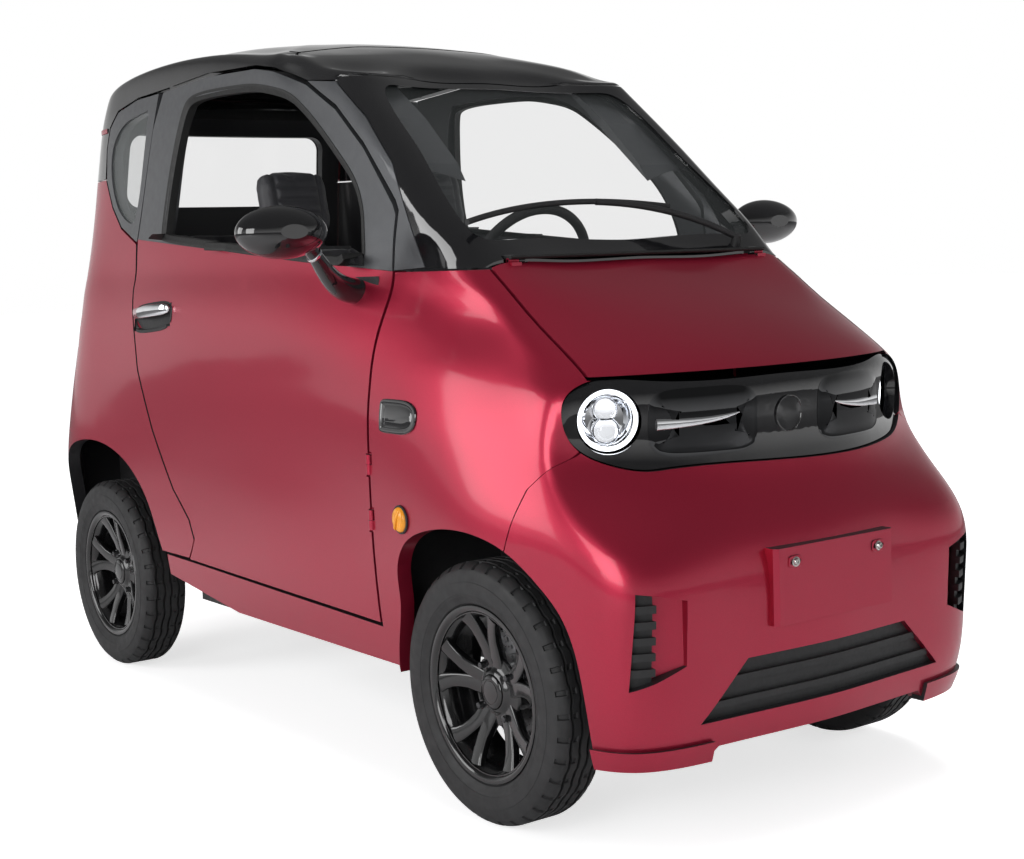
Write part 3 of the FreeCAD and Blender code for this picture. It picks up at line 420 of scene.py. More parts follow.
class Finishes:
    """All of the car's materials, each made once."""

    def __init__(self) -> None:
        """Build every finish of the car."""
        self.paint = PearlPaint("raspberry_pearl", (0.43, 0.017, 0.050)).material()
        self.gloss_black = Lacquer("gloss_black", (0.008, 0.008, 0.009), 0.07).material()
        self.rim_black = Lacquer("rim_black", (0.006, 0.006, 0.0065), 0.14, 0.0, 0.6).material()
        self.satin_grey = Lacquer("satin_grey", (0.085, 0.088, 0.094), 0.36, 0.40, 0.35).material()
        self.chrome = Lacquer("bright_chrome", (0.82, 0.83, 0.85), 0.05, 1.0, 0.0).material()
        self.matt_black = Grained("moulded_black", (0.018, 0.018, 0.019)).material()
        self.cabin_black = Grained("cabin_trim", (0.030, 0.030, 0.032), roughness=0.62).material()
        self.iron = Grained("painted_iron", (0.020, 0.020, 0.021), Pattern.CAST, 0.5, 0.2, 220.0,
                            0.0004).material()
        self.turned_steel = Grained("turned_steel", (0.42, 0.42, 0.43), Pattern.BRUSHED, 0.3, 1.0,
                                    400.0).material()
        self.bolt_steel = Grained("bolt_steel", (0.62, 0.61, 0.59), Pattern.CAST, 0.28, 1.0, 600.0,
                                  0.0001).material()
        self.rubber = Tread().material()
        self.seal = Grained("rubber_seal", (0.012, 0.012, 0.012), roughness=0.6, grain=500.0).material()
        self.glass = Pane("window_glass").material()
        self.light_tint = Pane("quarter_window", (0.30, 0.32, 0.32), 0.22).material()
        self.lens = Glazing("lamp_lens", (0.97, 0.98, 1.0), 0.02).material()
        self.amber = Grained("amber_lens", (0.85, 0.33, 0.02), roughness=0.18, grain=300.0).material()
        self.red_lens = Grained("red_lens", (0.42, 0.012, 0.02), roughness=0.14, grain=300.0).material()
        self.halo = Glow("halo_guide", (0.95, 0.97, 1.0), 2.2).material()
        self.hide = Hide().material()
        self.smoked = Lacquer("smoked_reflector", (0.030, 0.031, 0.034), 0.05, 1.0, 1.0).material()
        self.lens_white = Grained("white_lens", (0.72, 0.72, 0.74), roughness=0.15, grain=300.0).material()
        self.black_chrome = Lacquer("black_chrome", (0.07, 0.07, 0.074), 0.14, 0.9, 0.5).material()
        self.mirror_glass = Lacquer("mirror_silver", (0.86, 0.87, 0.88), 0.02, 1.0, 0.0).material()


def as_mesh(name: str, shape: bmesh.types.BMesh) -> bpy.types.Mesh:
    """Mesh made from a shape, which is freed."""
    mesh = bpy.data.meshes.new(name)
    shape.to_mesh(mesh)
    shape.free()
    return mesh


def placed(name: str, data: bpy.types.ID) -> bpy.types.Object:
    """New object with its data, linked to the scene."""
    made = bpy.data.objects.new(name, data)
    bpy.context.scene.collection.objects.link(made)
    return made


class Maker:
    """Turns bmesh shapes into finished pieces that ride on the car."""

    def __init__(self, frame: dict) -> None:
        """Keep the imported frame.
        """
        self.frame = frame

    def piece(self, name: str, shape: bmesh.types.BMesh, finish: bpy.types.Material, body: str, slot: str,
              smooth: float = 35.0, replaces: tuple[str, ...] = ()) -> None:
        """Make a piece from a shape and let it ride on a body.

        Args:
            name: Name of the piece.
            shape: The bmesh, which is freed.
            finish: Material of the piece.
            body: CAD body that carries it.
            slot: Not used.
            smooth: Edges flatter than this many degrees are shaded smooth.
            replaces: CAD nodes that the piece stands for.
        """
        bmesh.ops.remove_doubles(shape, verts=shape.verts, dist=MERGE)
        bmesh.ops.recalc_face_normals(shape, faces=shape.faces)
        mesh = as_mesh(name, shape)
        mesh.materials.append(finish)
        made = placed(name, mesh)
        mesh.shade_smooth()
        mesh.set_sharp_from_angle(angle=math.radians(smooth))
        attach(made, body)
        if replaces:
            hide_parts(*replaces)

    def dress(self, finish: bpy.types.Material, *nodes: str) -> None:
        """Give CAD nodes a finish.

        Args:
            finish: Material to assign.
            *nodes: Names of the nodes; those missing from the frame stop the script.
        """
        for node in nodes:
            for place in self.frame["nodes"][node].material_slots:
                place.material = finish


def edges_of(verts: list[bmesh.types.BMVert]) -> list[bmesh.types.BMEdge]:
    """Edges of some points, each once and always in the same order."""
    return list(dict.fromkeys(edge for vert in verts for edge in vert.link_edges))


def ring(shape: bmesh.types.BMesh, where: Matrix, half_a: float, half_b: float, steps: int = 16,
         square: float = 2.0) -> list[bmesh.types.BMEdge]:
    """Add an open loop shaped as a superellipse.

    Args:
        shape: The bmesh to add to.
        where: Place of the loop; its plane is the matrix's XY plane.
        half_a: Half size along the matrix's X.
        half_b: Half size along the matrix's Y.
        steps: Points of the loop.
        square: 2 is an ellipse and more is squarer.

    Returns:
        The loop's edges.
    """
    made = bmesh.ops.create_circle(shape, segments=steps, radius=1.0)
    for vert in made["verts"]:
        turn = math.atan2(vert.co.y, vert.co.x)
        c, s = math.cos(turn), math.sin(turn)
        vert.co.x = half_a * math.copysign(abs(c) ** (2.0 / square), c)
        vert.co.y = half_b * math.copysign(abs(s) ** (2.0 / square), s)
        vert.co.z = 0.0
        vert.co = where @ vert.co
    return edges_of(made["verts"])


def loft(shape: bmesh.types.BMesh, loops: list[list[bmesh.types.BMEdge]], closed: bool = True) -> None:
    """Bridge loops one after another and fill both ends.

    Args:
        shape: The bmesh that holds the loops.
        loops: Edge loops in order.
        closed: Whether the first and last loops are filled.
    """
    for first, second in zip(loops, loops[1:]):
        bmesh.ops.bridge_loops(shape, edges=first + second)
    if closed:
        bmesh.ops.edgeloop_fill(shape, edges=loops[0])
        bmesh.ops.edgeloop_fill(shape, edges=loops[-1])


def stack(shape: bmesh.types.BMesh, rows: list[tuple[Matrix, float, float]], steps: int = 16,
          square: float = 2.0) -> None:
    """Loft a closed form through superellipses.

    Args:
        shape: The bmesh to add to.
        rows: Place and both half sizes of each loop.
        steps: Points of each loop.
        square: 2 is an ellipse and more is squarer.
    """
    loft(shape, [ring(shape, where, half_a, half_b, steps, square) for where, half_a, half_b in rows])


def facing(centre: Vector, way: Vector, up: Vector = UP) -> Matrix:
    """Matrix at a centre whose Z looks along a way and whose Y leans to up.

    Args:
        centre: Origin of the matrix.
        way: Direction of its Z axis.
        up: Direction that its Y axis leans to.

    Returns:
        The 4 by 4 matrix.
    """
    z = way.normalized()
    x = up.cross(z)
    if x.length < 1e-5:
        x = FORWARD.cross(z)
    x.normalize()
    y = z.cross(x)
    made = Matrix((x, y, z)).transposed().to_4x4()
    made.translation = centre
    return made


def turned(shape: bmesh.types.BMesh, profile: list[tuple[float, float]], where: Matrix, steps: int = 48,
           closed: bool = False) -> None:
    """Spin a profile of (radius, height) points about the matrix's Z axis.

    Args:
        shape: The bmesh to add to.
        profile: Points from one end to the other.
        where: Place of the axis.
        steps: Steps of the full turn.
        closed: Whether the last point joins the first.
    """
    verts = [shape.verts.new(where @ Vector((r, 0.0, h))) for r, h in profile]
    edges = [shape.edges.new(pair) for pair in zip(verts, verts[1:])]
    if closed:
        edges.append(shape.edges.new((verts[-1], verts[0])))
    bmesh.ops.spin(shape, geom=verts + edges, cent=where.translation, axis=where.to_3x3().col[2],
                   angle=math.tau, steps=steps, use_merge=True, use_duplicate=False)
    bmesh.ops.remove_doubles(shape, verts=shape.verts, dist=0.00001)


def tubed(shape: bmesh.types.BMesh, points: list[Vector], radius: float, steps: int = 12) -> None:
    """Round rod through points, with mitred corners.

    Args:
        shape: The bmesh to add to.
        points: Centre line.
        radius: Radius of the rod.
        steps: Sides of the rod.
    """
    ends = zip(points[:1] + points, points, points[1:] + points[-1:])
    stack(shape, [(facing(point, after - before), radius, radius) for before, point, after in ends], steps)


def oval(half_a: float, half_b: float, square: float = 2.0, steps: int = 48) -> list[tuple[float, float]]:
    """Outline of a superellipse.

    Args:
        half_a: Half size across.
        half_b: Half size up.
        square: 2 is an ellipse and more is squarer.
        steps: Points of the outline.

    Returns:
        The points, anticlockwise.
    """
    points = []
    for k in range(steps):
        c, s = math.cos(math.tau * k / steps), math.sin(math.tau * k / steps)
        points.append((half_a * math.copysign(abs(c) ** (2.0 / square), c),
                       half_b * math.copysign(abs(s) ** (2.0 / square), s)))
    return points


def inset(outline: list[tuple[float, float]], depth: float) -> list[tuple[float, float]]:
    """Outline moved inwards along its own normals.

    Args:
        outline: Anticlockwise points.
        depth: Distance inwards, or outwards where negative.

    Returns:
        The moved points.
    """
    moved = []
    for k, (a, b) in enumerate(outline):
        before, after = outline[k - 1], outline[(k + 1) % len(outline)]
        run = Vector((after[0] - before[0], after[1] - before[1])).normalized()
        moved.append((a - run.y * depth, b + run.x * depth))
    return moved


class Skin:
    """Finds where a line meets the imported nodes."""

    def __init__(self, frame: dict) -> None:
        """Keep the nodes.
        """
        self.nodes = frame["nodes"]
        self.trees: dict[str, BVHTree] = {}

    def tree(self, name: str) -> BVHTree:
        """Search tree of one node, made once."""
        if name not in self.trees:
            mesh = self.nodes[name].data
            self.trees[name] = BVHTree.FromPolygons([v.co for v in mesh.vertices],
                                                    [p.vertices for p in mesh.polygons])
        return self.trees[name]

    def hit(self, names: tuple[str, ...], start: Vector, way: Vector) -> Vector | None:
        """First point that a ray meets on the named nodes.

        Args:
            names: Nodes to look at.
            start: Start of the ray.
            way: Direction of the ray.

        Returns:
            The nearest point, or None where the ray meets nothing.
        """
        best = None
        for name in names:
            spot = self.tree(name).ray_cast(start, way.normalized())[0]
            if spot is not None and (best is None or (spot - start).length < (best - start).length):
                best = spot
        return best


@dataclass
class Patch:
    """A direction from which shapes are laid onto the car's surface."""

    skin: Skin
    nodes: tuple[str, ...]
    centre: Vector
    way: Vector
    across: Vector

    def plane(self, a: float, b: float) -> Vector:
        """Point of the centre's plane, a across and b up."""
        return self.centre + self.across * a + UP * b

    def spot(self, a: float, b: float) -> Vector:
        """Surface point at a place of the patch.

        Args:
            a: Distance across.
            b: Distance up.

        Returns:
            The point on the nodes, or on the centre's plane where none is met.
        """
        plane = self.plane(a, b)
        found = self.skin.hit(self.nodes, plane - self.way * 0.5, self.way)
        return plane if found is None else found

    def lay(self, shape: bmesh.types.BMesh, outline: list[tuple[float, float]],
            steps: list[tuple[float, float]], follow: bool = True, hollow: bool = False) -> None:
        """Lay loops over the surface and bridge them.

        Args:
            shape: The bmesh to add to.
            outline: Anticlockwise outline across and up.
            steps: Distance inwards and height of each loop.
            follow: Whether each loop follows the surface below it, or only the outline's.
            hollow: Whether the last loop joins the first, for a frame.
        """
        loops = []
        base = [self.spot(a, b) for a, b in outline]
        for depth, lift in steps:
            made = bmesh.ops.create_circle(shape, segments=len(outline), radius=1.0)
            verts = sorted(made["verts"], key=lambda v: math.atan2(v.co.y, v.co.x) % math.tau)
            for k, (vert, (a, b)) in enumerate(zip(verts, inset(outline, depth))):
                if follow:
                    spot = self.spot(a, b)
                else:
                    plane = self.plane(a, b)
                    spot = plane + self.way * (base[k] - plane).dot(self.way)
                vert.co = spot - self.way * lift
            loops.append(edges_of(verts))
        loft(shape, loops, closed=not hollow)
        if hollow:
            bmesh.ops.bridge_loops(shape, edges=loops[-1] + loops[0])


def beside(skin: Skin, side: Side, nodes: tuple[str, ...], x: float, z: float) -> Patch:
    """Patch seen from one side of the car.

    Args:
        skin: Reader of the surface.
        side: Side of the car.
        nodes: Names of the nodes.
        x: Distance ahead of the front axle.
        z: Height.

    Returns:
        The patch.
    """
    return Patch(skin, nodes, at(x, side.value * 0.50, z), LEFTWARD * -side.value, FORWARD * -side.value)


def ahead(skin: Skin, nodes: tuple[str, ...], y: float, z: float) -> Patch:
    """Patch seen from the front."""
    return Patch(skin, nodes, at(0.40, y, z), -FORWARD, LEFTWARD)


@dataclass
class Fitter:
    """Builds one sub-assembly of the car."""

    make: Maker
    finishes: Finishes


@dataclass
class SkinFitter(Fitter):
    """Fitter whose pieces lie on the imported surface."""

    skin: Skin


@dataclass
class Coachwork(Fitter):
    """Painted panels and black upper structure."""

    red: tuple[str, ...] = ("bonnet", "front_bumper", "rear_bumper", "wings", "door_right", "door_left",
                            "quarter_panels", "tailgate")
    black: tuple[str, ...] = ("screen_frame", "lamp_band")
    grey: tuple[str, ...] = ("door_frame_right", "door_frame_left", "pillar_trims", "quarter_surrounds")
    shoulder: tuple[float, float, float] = (-0.848, 0.336, 1.45)
    edge: float = 0.400
    reach: float = 0.046
    ease: float = 0.0078

    def build(self) -> None:
        """Dress all panels."""
        self.make.dress(self.finishes.paint, *self.red)
        self.make.dress(self.finishes.gloss_black, *self.black)
        self.make.dress(self.finishes.satin_grey, *self.grey)
        self.roof()

    def roof(self) -> None:
        """Roof panel with its front shoulders eased over the door's corner."""
        shape = bmesh.new()
        shape.from_mesh(self.make.frame["nodes"]["roof_panel"].data)
        bmesh.ops.remove_doubles(shape, verts=shape.verts, dist=MERGE)
        behind, inner, low = self.shoulder
        for vert in shape.verts:
            along = (vert.co.x - FRONT_AXLE - behind) / self.reach
            rise = min(max((abs(vert.co.y) - inner) / 0.030, 0.0), 1.0)
            fade = min(max((self.edge - abs(vert.co.y)) / 0.010, 0.0), 1.0)
            if vert.co.z > low:
                vert.co.z -= self.ease * math.exp(-along ** 2) * rise * fade
        self.make.piece("dressed_roof", shape, self.finishes.gloss_black, "body", "gloss_black", 32.0,
                        ("roof_panel",))


@dataclass
class Glass(Fitter):
    """Windscreen, quarter windows and rear window."""

    def build(self) -> None:
        """Dress the glass nodes."""
        self.make.dress(self.finishes.glass, "windshield", "rear_window")
        self.make.dress(self.finishes.light_tint, "quarter_glasses")


@dataclass
class Wheel(Fitter):
    """One wheel with its tyre, forked spokes and drilled disc."""

    end: str
    side: Side
    tyre_radius: float = 0.250
    middle: float = 0.010
    steps: int = 144
    fork_angle: float = 23.2
    nut_angle: float = 37.5
    nut_circle: float = 0.057
    lug_radii: tuple[float, float] = (0.2376, 0.2499)
    lug_start: float = 0.0362
    rib_radius: float = 0.2490
    rib_band: tuple[float, float] = (0.0172, 0.0268)
    groove_radius: float = 0.2420
    groove_band: tuple[float, float] = (0.0050, 0.0340)
    groove_shift: float = 0.0016
    disc_face: float = -0.028
    disc_steps: int = 120
    drilled: tuple[float, float] = (0.066, 0.108)

    @property
    def hub(self) -> Matrix:
        """Matrix at the hub whose Z looks outwards."""
        x = FRONT_AXLE if self.end == "front" else REAR_AXLE
        centre = Vector((x, self.side.value * HALF_TRACK, HUB_HEIGHT))
        return facing(centre, LEFTWARD * self.side.value)

    @property
    def axle(self) -> Vector:
        """Direction of the axle, outwards."""
        return self.hub.to_3x3().col[2]

    @property
    def body(self) -> str:
        """CAD body of the wheel."""
        return f"wheel_{self.end}_{self.side.word}"

    def tag(self, part: str) -> str:
        """Name of one part of this wheel."""
        return f"{part}_{self.end}_{self.side.word}"

    def tyre(self) -> None:
        """Spin the tyre and cut its grooves and shoulder blocks."""
        shape = bmesh.new()
        r = self.tyre_radius
        crown = [(0.0470, 0.0045), (0.0410, 0.0012), (0.0360, 0.0), (0.0335, 0.0), (0.0330, 0.0068),
                 (0.0275, 0.0068), (0.0270, 0.0), (0.0170, 0.0), (0.0125, 0.0), (0.0120, 0.0070),
                 (0.0065, 0.0070), (0.0060, 0.0)]
        wall = [(0.1535, 0.0555), (0.165, 0.0570), (0.1712, 0.0590), (0.1730, 0.0628), (0.178, 0.0650),
                (0.186, 0.0680), (0.187, 0.0688), (0.191, 0.0694), (0.1915, 0.0702), (0.205, 0.0716),
                (0.214, 0.0714), (0.2145, 0.0706), (0.223, 0.0698), (0.233, 0.0672), (0.2375, 0.0650),
                (0.2405, 0.0618)]
        outer = wall + [(r - d, self.middle + h) for h, d in crown]
        profile = outer + [(a, 2.0 * self.middle - b) for a, b in reversed(outer)]
        turned(shape, profile, self.hub, self.steps, closed=True)
        self.blocks(shape)
        self.make.piece(self.tag("dressed_tyre"), shape, self.finishes.rubber, self.body, "tyre", 40.0,
                        (self.tag("tyre"),))

    def slot(self, spot: Vector, steps: int) -> float:
        """Which of the steps round the hub a point lies in.

        Args:
            spot: Point in the hub's own axes.
            steps: Steps of the full turn.

        Returns:
            The step with its fraction.
        """
        return (math.atan2(spot.y, spot.x) + math.pi) / math.tau * steps

    def blocks(self, shape: bmesh.types.BMesh) -> None:
        """Cut blocks into the shoulders, sipes into the ribs and waves into the grooves.

        Args:
            shape: The spun tyre.
        """
        home = self.hub.inverted()
        ribs: list[bmesh.types.BMFace] = []
        lugs: list[bmesh.types.BMFace] = []
        for face in shape.faces:
            spot = home @ face.calc_center_median()
            radius = math.hypot(spot.x, spot.y)
            off = abs(spot.z - self.middle)
            if int(self.slot(spot, self.steps)) % 4 == 0:
                if self.lug_radii[0] < radius < self.lug_radii[1] and off > self.lug_start:
                    lugs.append(face)
                if radius > self.rib_radius and self.rib_band[0] < off < self.rib_band[1]:
                    ribs.append(face)
        bmesh.ops.inset_region(shape, faces=lugs, thickness=0.0016, depth=-0.0036, use_boundary=True,
                               use_even_offset=True)
        bmesh.ops.inset_individual(shape, faces=ribs, thickness=0.0022, depth=-0.003)
        axle = self.axle
        for vert in shape.verts:
            spot = home @ vert.co
            near, far = self.groove_band
            if math.hypot(spot.x, spot.y) > self.groove_radius and near < abs(spot.z - self.middle) < far:
                wave = round(self.slot(spot, self.steps)) % 6
                vert.co += axle * (self.groove_shift if wave < 3 else -self.groove_shift)

    def rim(self) -> None:
        """Build the rim's barrel, forked spokes, hub, cap and nuts."""
        shape = bmesh.new()
        barrel = [(0.1420, -0.0400), (0.1690, -0.0400), (0.1700, -0.0390), (0.1690, -0.0372), (0.1530, -0.0370),
                  (0.1530, 0.0560), (0.1660, 0.0572), (0.1690, 0.0582), (0.1700, 0.0602), (0.1688, 0.0622),
                  (0.1640, 0.0630), (0.1600, 0.0618), (0.1560, 0.0580), (0.1530, 0.0520), (0.1490, 0.0480),
                  (0.1440, 0.0420), (0.1425, 0.0200)]
        turned(shape, barrel, self.hub, 96, closed=True)
        for k in range(5):
            middle = math.radians(self.fork_angle + 72.0 * k)
            for lean in (-1.0, 1.0):
                self.spoke(shape, middle, lean)
        hub = [(0.0160, -0.0280), (0.0460, -0.0280), (0.0480, 0.0100), (0.0660, 0.0150), (0.0690, 0.0185),
               (0.0660, 0.0232), (0.0480, 0.0262), (0.0420, 0.0290), (0.0390, 0.0330), (0.0340, 0.0345),
               (0.0330, 0.0320)]
        turned(shape, hub, self.hub, 60)
        cap = [(0.0325, 0.0300), (0.0322, 0.0362), (0.0300, 0.0382), (0.0240, 0.0392), (0.0235, 0.0384),
               (0.0215, 0.0384), (0.0210, 0.0394), (0.0120, 0.0404), (0.00001, 0.0408)]
        turned(shape, cap, self.hub, 48)
        self.make.piece(self.tag("dressed_rim"), shape, self.finishes.rim_black, self.body, "rim_black", 38.0,
                        (self.tag("rim"),))
        self.nuts()

    def spoke(self, shape: bmesh.types.BMesh, middle: float, lean: float) -> None:
        """Loft one arm of a fork from the hub to the barrel.

        Args:
            shape: The rim's bmesh.
            middle: Angle of the fork's middle line.
            lean: -1 or 1 for the two arms.
        """
        path = [(0.044, 10.5, 0.0170, 0.0165, 0.0100), (0.062, 9.6, 0.0165, 0.0195, 0.0105),
                (0.084, 9.2, 0.0146, 0.0245, 0.0100), (0.104, 10.2, 0.0138, 0.0310, 0.0092),
                (0.124, 12.0, 0.0142, 0.0365, 0.0086), (0.142, 14.2, 0.0160, 0.0430, 0.0080),
                (0.1525, 15.6, 0.0185, 0.0465, 0.0080)]
        centres = []
        for radius, swing, _, height, _ in path:
            angle = middle + lean * math.radians(swing)
            centres.append(self.hub @ Vector((radius * math.cos(angle), radius * math.sin(angle), height)))
        rows = []
        for i, (_, _, half, _, thick) in enumerate(path):
            run = centres[min(i + 1, len(path) - 1)] - centres[max(i - 1, 0)]
            rows.append((facing(centres[i], run, self.axle), half, thick))
        stack(shape, rows, 20, 5.0)

    def nuts(self) -> None:
        """Four wheel nuts in their seats."""
        shape = bmesh.new()
        seat = [(0.0108, 0.018), (0.0108, 0.0255), (0.0094, 0.0272)]
        nut = [(0.0072, 0.024), (0.0072, 0.0345), (0.0062, 0.0372), (0.0030, 0.0384)]
        for k in range(4):
            angle = math.radians(self.nut_angle + 90.0 * k)
            where = self.hub.copy()
            spot = Vector((self.nut_circle * math.cos(angle), self.nut_circle * math.sin(angle), 0.0))
            where.translation = self.hub @ spot
            for rows, sides in ((seat, 20), (nut, 6)):
                stack(shape, [(where @ Matrix.Translation((0, 0, h)), r, r) for r, h in rows], sides)
        self.make.piece(self.tag("wheel_nuts"), shape, self.finishes.black_chrome, self.body, "disc_steel",
                        30.0)

    def disc(self) -> None:
        """Drilled brake disc behind the spokes."""
        shape = bmesh.new()
        profile = [(0.0385, -0.0360), (0.1110, -0.0360), (0.1120, -0.0352), (0.1120, -0.0288),
                   (0.1110, -0.0280), (0.0640, -0.0280), (0.0620, -0.0260), (0.0480, -0.0260),
                   (0.0385, -0.0260)]
        turned(shape, profile, self.hub, self.disc_steps, closed=True)
        home = self.hub.inverted()
        bmesh.ops.subdivide_edges(shape, edges=[e for e in shape.edges if self.spans_face(home, e)], cuts=5,
                                  use_grid_fill=True)
        holes = []
        for face in shape.faces:
            spot = home @ face.calc_center_median()
            radius = math.hypot(spot.x, spot.y)
            if not self.drilled[0] <= radius <= self.drilled[1] or abs(spot.z - self.disc_face) > 0.0004:
                continue
            row = int((radius - 0.064) / 0.00783)
            if row in (1, 3, 4) and (int(self.slot(spot, self.disc_steps)) + 2 * row) % 6 == 0:
                holes.append(face)
        bmesh.ops.inset_individual(shape, faces=holes, thickness=0.0009, depth=-0.0035)
        self.make.piece(self.tag("dressed_disc"), shape, self.finishes.turned_steel, self.body, "disc_steel",
                        30.0, (self.tag("brake_disc"),))

    def spans_face(self, home: Matrix, edge: bmesh.types.BMEdge) -> bool:
        """Whether an edge runs radially over the disc's outer face."""
        a, b = (home @ v.co for v in edge.verts)
        flat = all(abs(end.z - self.disc_face) < 0.0004 for end in (a, b))
        return flat and abs(math.hypot(a.x, a.y) - math.hypot(b.x, b.y)) > 0.02

    def build(self) -> None:
        """Build all of the wheel."""
        self.tyre()
        self.rim()
        self.disc()


@dataclass
class HeadLamp(Fitter):
    """One round projector lamp with its lit halo, set in the black band."""

    side: Side
    projectors: tuple[tuple[float, float], ...] = ((0.019, 0.0195), (-0.020, 0.0225))
    collar_gap: float = 0.0005

    @property
    def place(self) -> Matrix:
        """Matrix at the lamp's face, its Z looking forward and out."""
        centre = at(0.212, self.side.value * 0.351, 0.767)
        return facing(centre, Vector((0.89, self.side.value * 0.45, 0.0)))

    def build(self) -> None:
        """Build the bowl, halo, projector and lens."""
        name = self.side.word
        bowl = bmesh.new()
        turned(bowl, [(0.0575, -0.034), (0.0575, 0.004), (0.0560, 0.0055), (0.0545, 0.004), (0.0480, -0.004),
                      (0.0420, -0.014), (0.0360, -0.024), (0.0001, -0.028)], self.place, 64)
        self.make.piece(f"lamp_bowl_{name}", bowl, self.finishes.chrome, "body", "lamp_clear", 40.0,
                        ("headlamps",))
        halo = bmesh.new()
        turned(halo, [(0.0478, 0.0040), (0.0482, 0.0068), (0.0505, 0.0080), (0.0528, 0.0068), (0.0532, 0.0040),
                      (0.0505, 0.0024)], self.place, 72, closed=True)
        self.make.piece(f"lamp_halo_{name}", halo, self.finishes.halo, "body", "lamp_clear", 60.0)
        eye = bmesh.new()
        collar = bmesh.new()
        for rise, reach in self.projectors:
            spot = self.place @ Matrix.Translation((0.0, rise, 0.0))
            turned(eye, [(reach, -0.018), (reach * 0.96, -0.010), (reach * 0.80, -0.002),
                         (reach * 0.50, 0.0022), (0.0001, 0.0038)], spot, 40)
            rim = reach + self.collar_gap
            turned(collar, [(rim, -0.020), (rim + 0.0022, -0.019), (rim + 0.0024, -0.010),
                            (rim + 0.0010, -0.008), (rim, -0.010)], spot, 40, closed=True)
        self.make.piece(f"lamp_projector_{name}", eye, self.finishes.lens, "body", "lamp_clear", 60.0)
        self.make.piece(f"lamp_collar_{name}", collar, self.finishes.chrome, "body", "gloss_black", 40.0)


@dataclass
class Running(Fitter):
    """Axles, suspension, frame and underside."""

    def build(self) -> None:
        """Dress the running gear."""
        self.make.dress(self.finishes.iron, "front_suspension", "rear_axle", "knuckle_right", "knuckle_left",
                        "chassis_frame")
        self.make.dress(self.finishes.matt_black, "floor_tub", "battery_box")


@dataclass
class Cabin(Fitter):
    """Dashboard, steering wheel and seats."""

    def build(self) -> None:
        """Dress the cabin."""
        self.make.dress(self.finishes.cabin_black, "dashboard", "steering_wheel")
        self.make.dress(self.finishes.hide, "front_seats", "rear_seat")
        Helm(self.make, self.finishes).build()
        Facia(self.make, self.finishes).build()
        Seats(self.make, self.finishes).build()


@dataclass
class Trim(Fitter):
    """Grilles, mirrors, wiper and tail lamps."""

    def build(self) -> None:
        """Dress the trim."""
        self.make.dress(self.finishes.matt_black, "grilles", "wiper")
        self.make.dress(self.finishes.gloss_black, "mirror_right", "mirror_left")
        self.make.dress(self.finishes.red_lens, "tail_lamps")
        for side in Side:
            self.mirror(side)

    def mirror(self, side: Side) -> None:
        """Silvered plate and bright collar of one door mirror.

        Args:
            side: Side of the car.
        """
        body = f"door_{side.word}"
        plate = bmesh.new()
        middle = at(-0.402, side.value * 0.662, 1.128)
        layers = ((-0.002, 0.091, 0.0455), (0.0012, 0.091, 0.0455), (0.0026, 0.089, 0.0435))
        stack(plate, [(facing(middle - FORWARD * back, -FORWARD), a, b) for back, a, b in layers], 48)
        self.make.piece(f"mirror_plate_{side.word}", plate, self.finishes.mirror_glass, body, "gloss_black",
                        40.0)
        collar = bmesh.new()
        where = facing(at(-0.396, side.value * 0.588, 1.082), Vector((0.25, side.value, 0.9)))
        turned(collar, [(0.0140, -0.003), (0.0170, -0.003), (0.0176, 0.0), (0.0170, 0.003), (0.0140, 0.003)],
               where, 36, True)
        self.make.piece(f"mirror_collar_{side.word}", collar, self.finishes.chrome, body, "gloss_black", 40.0)


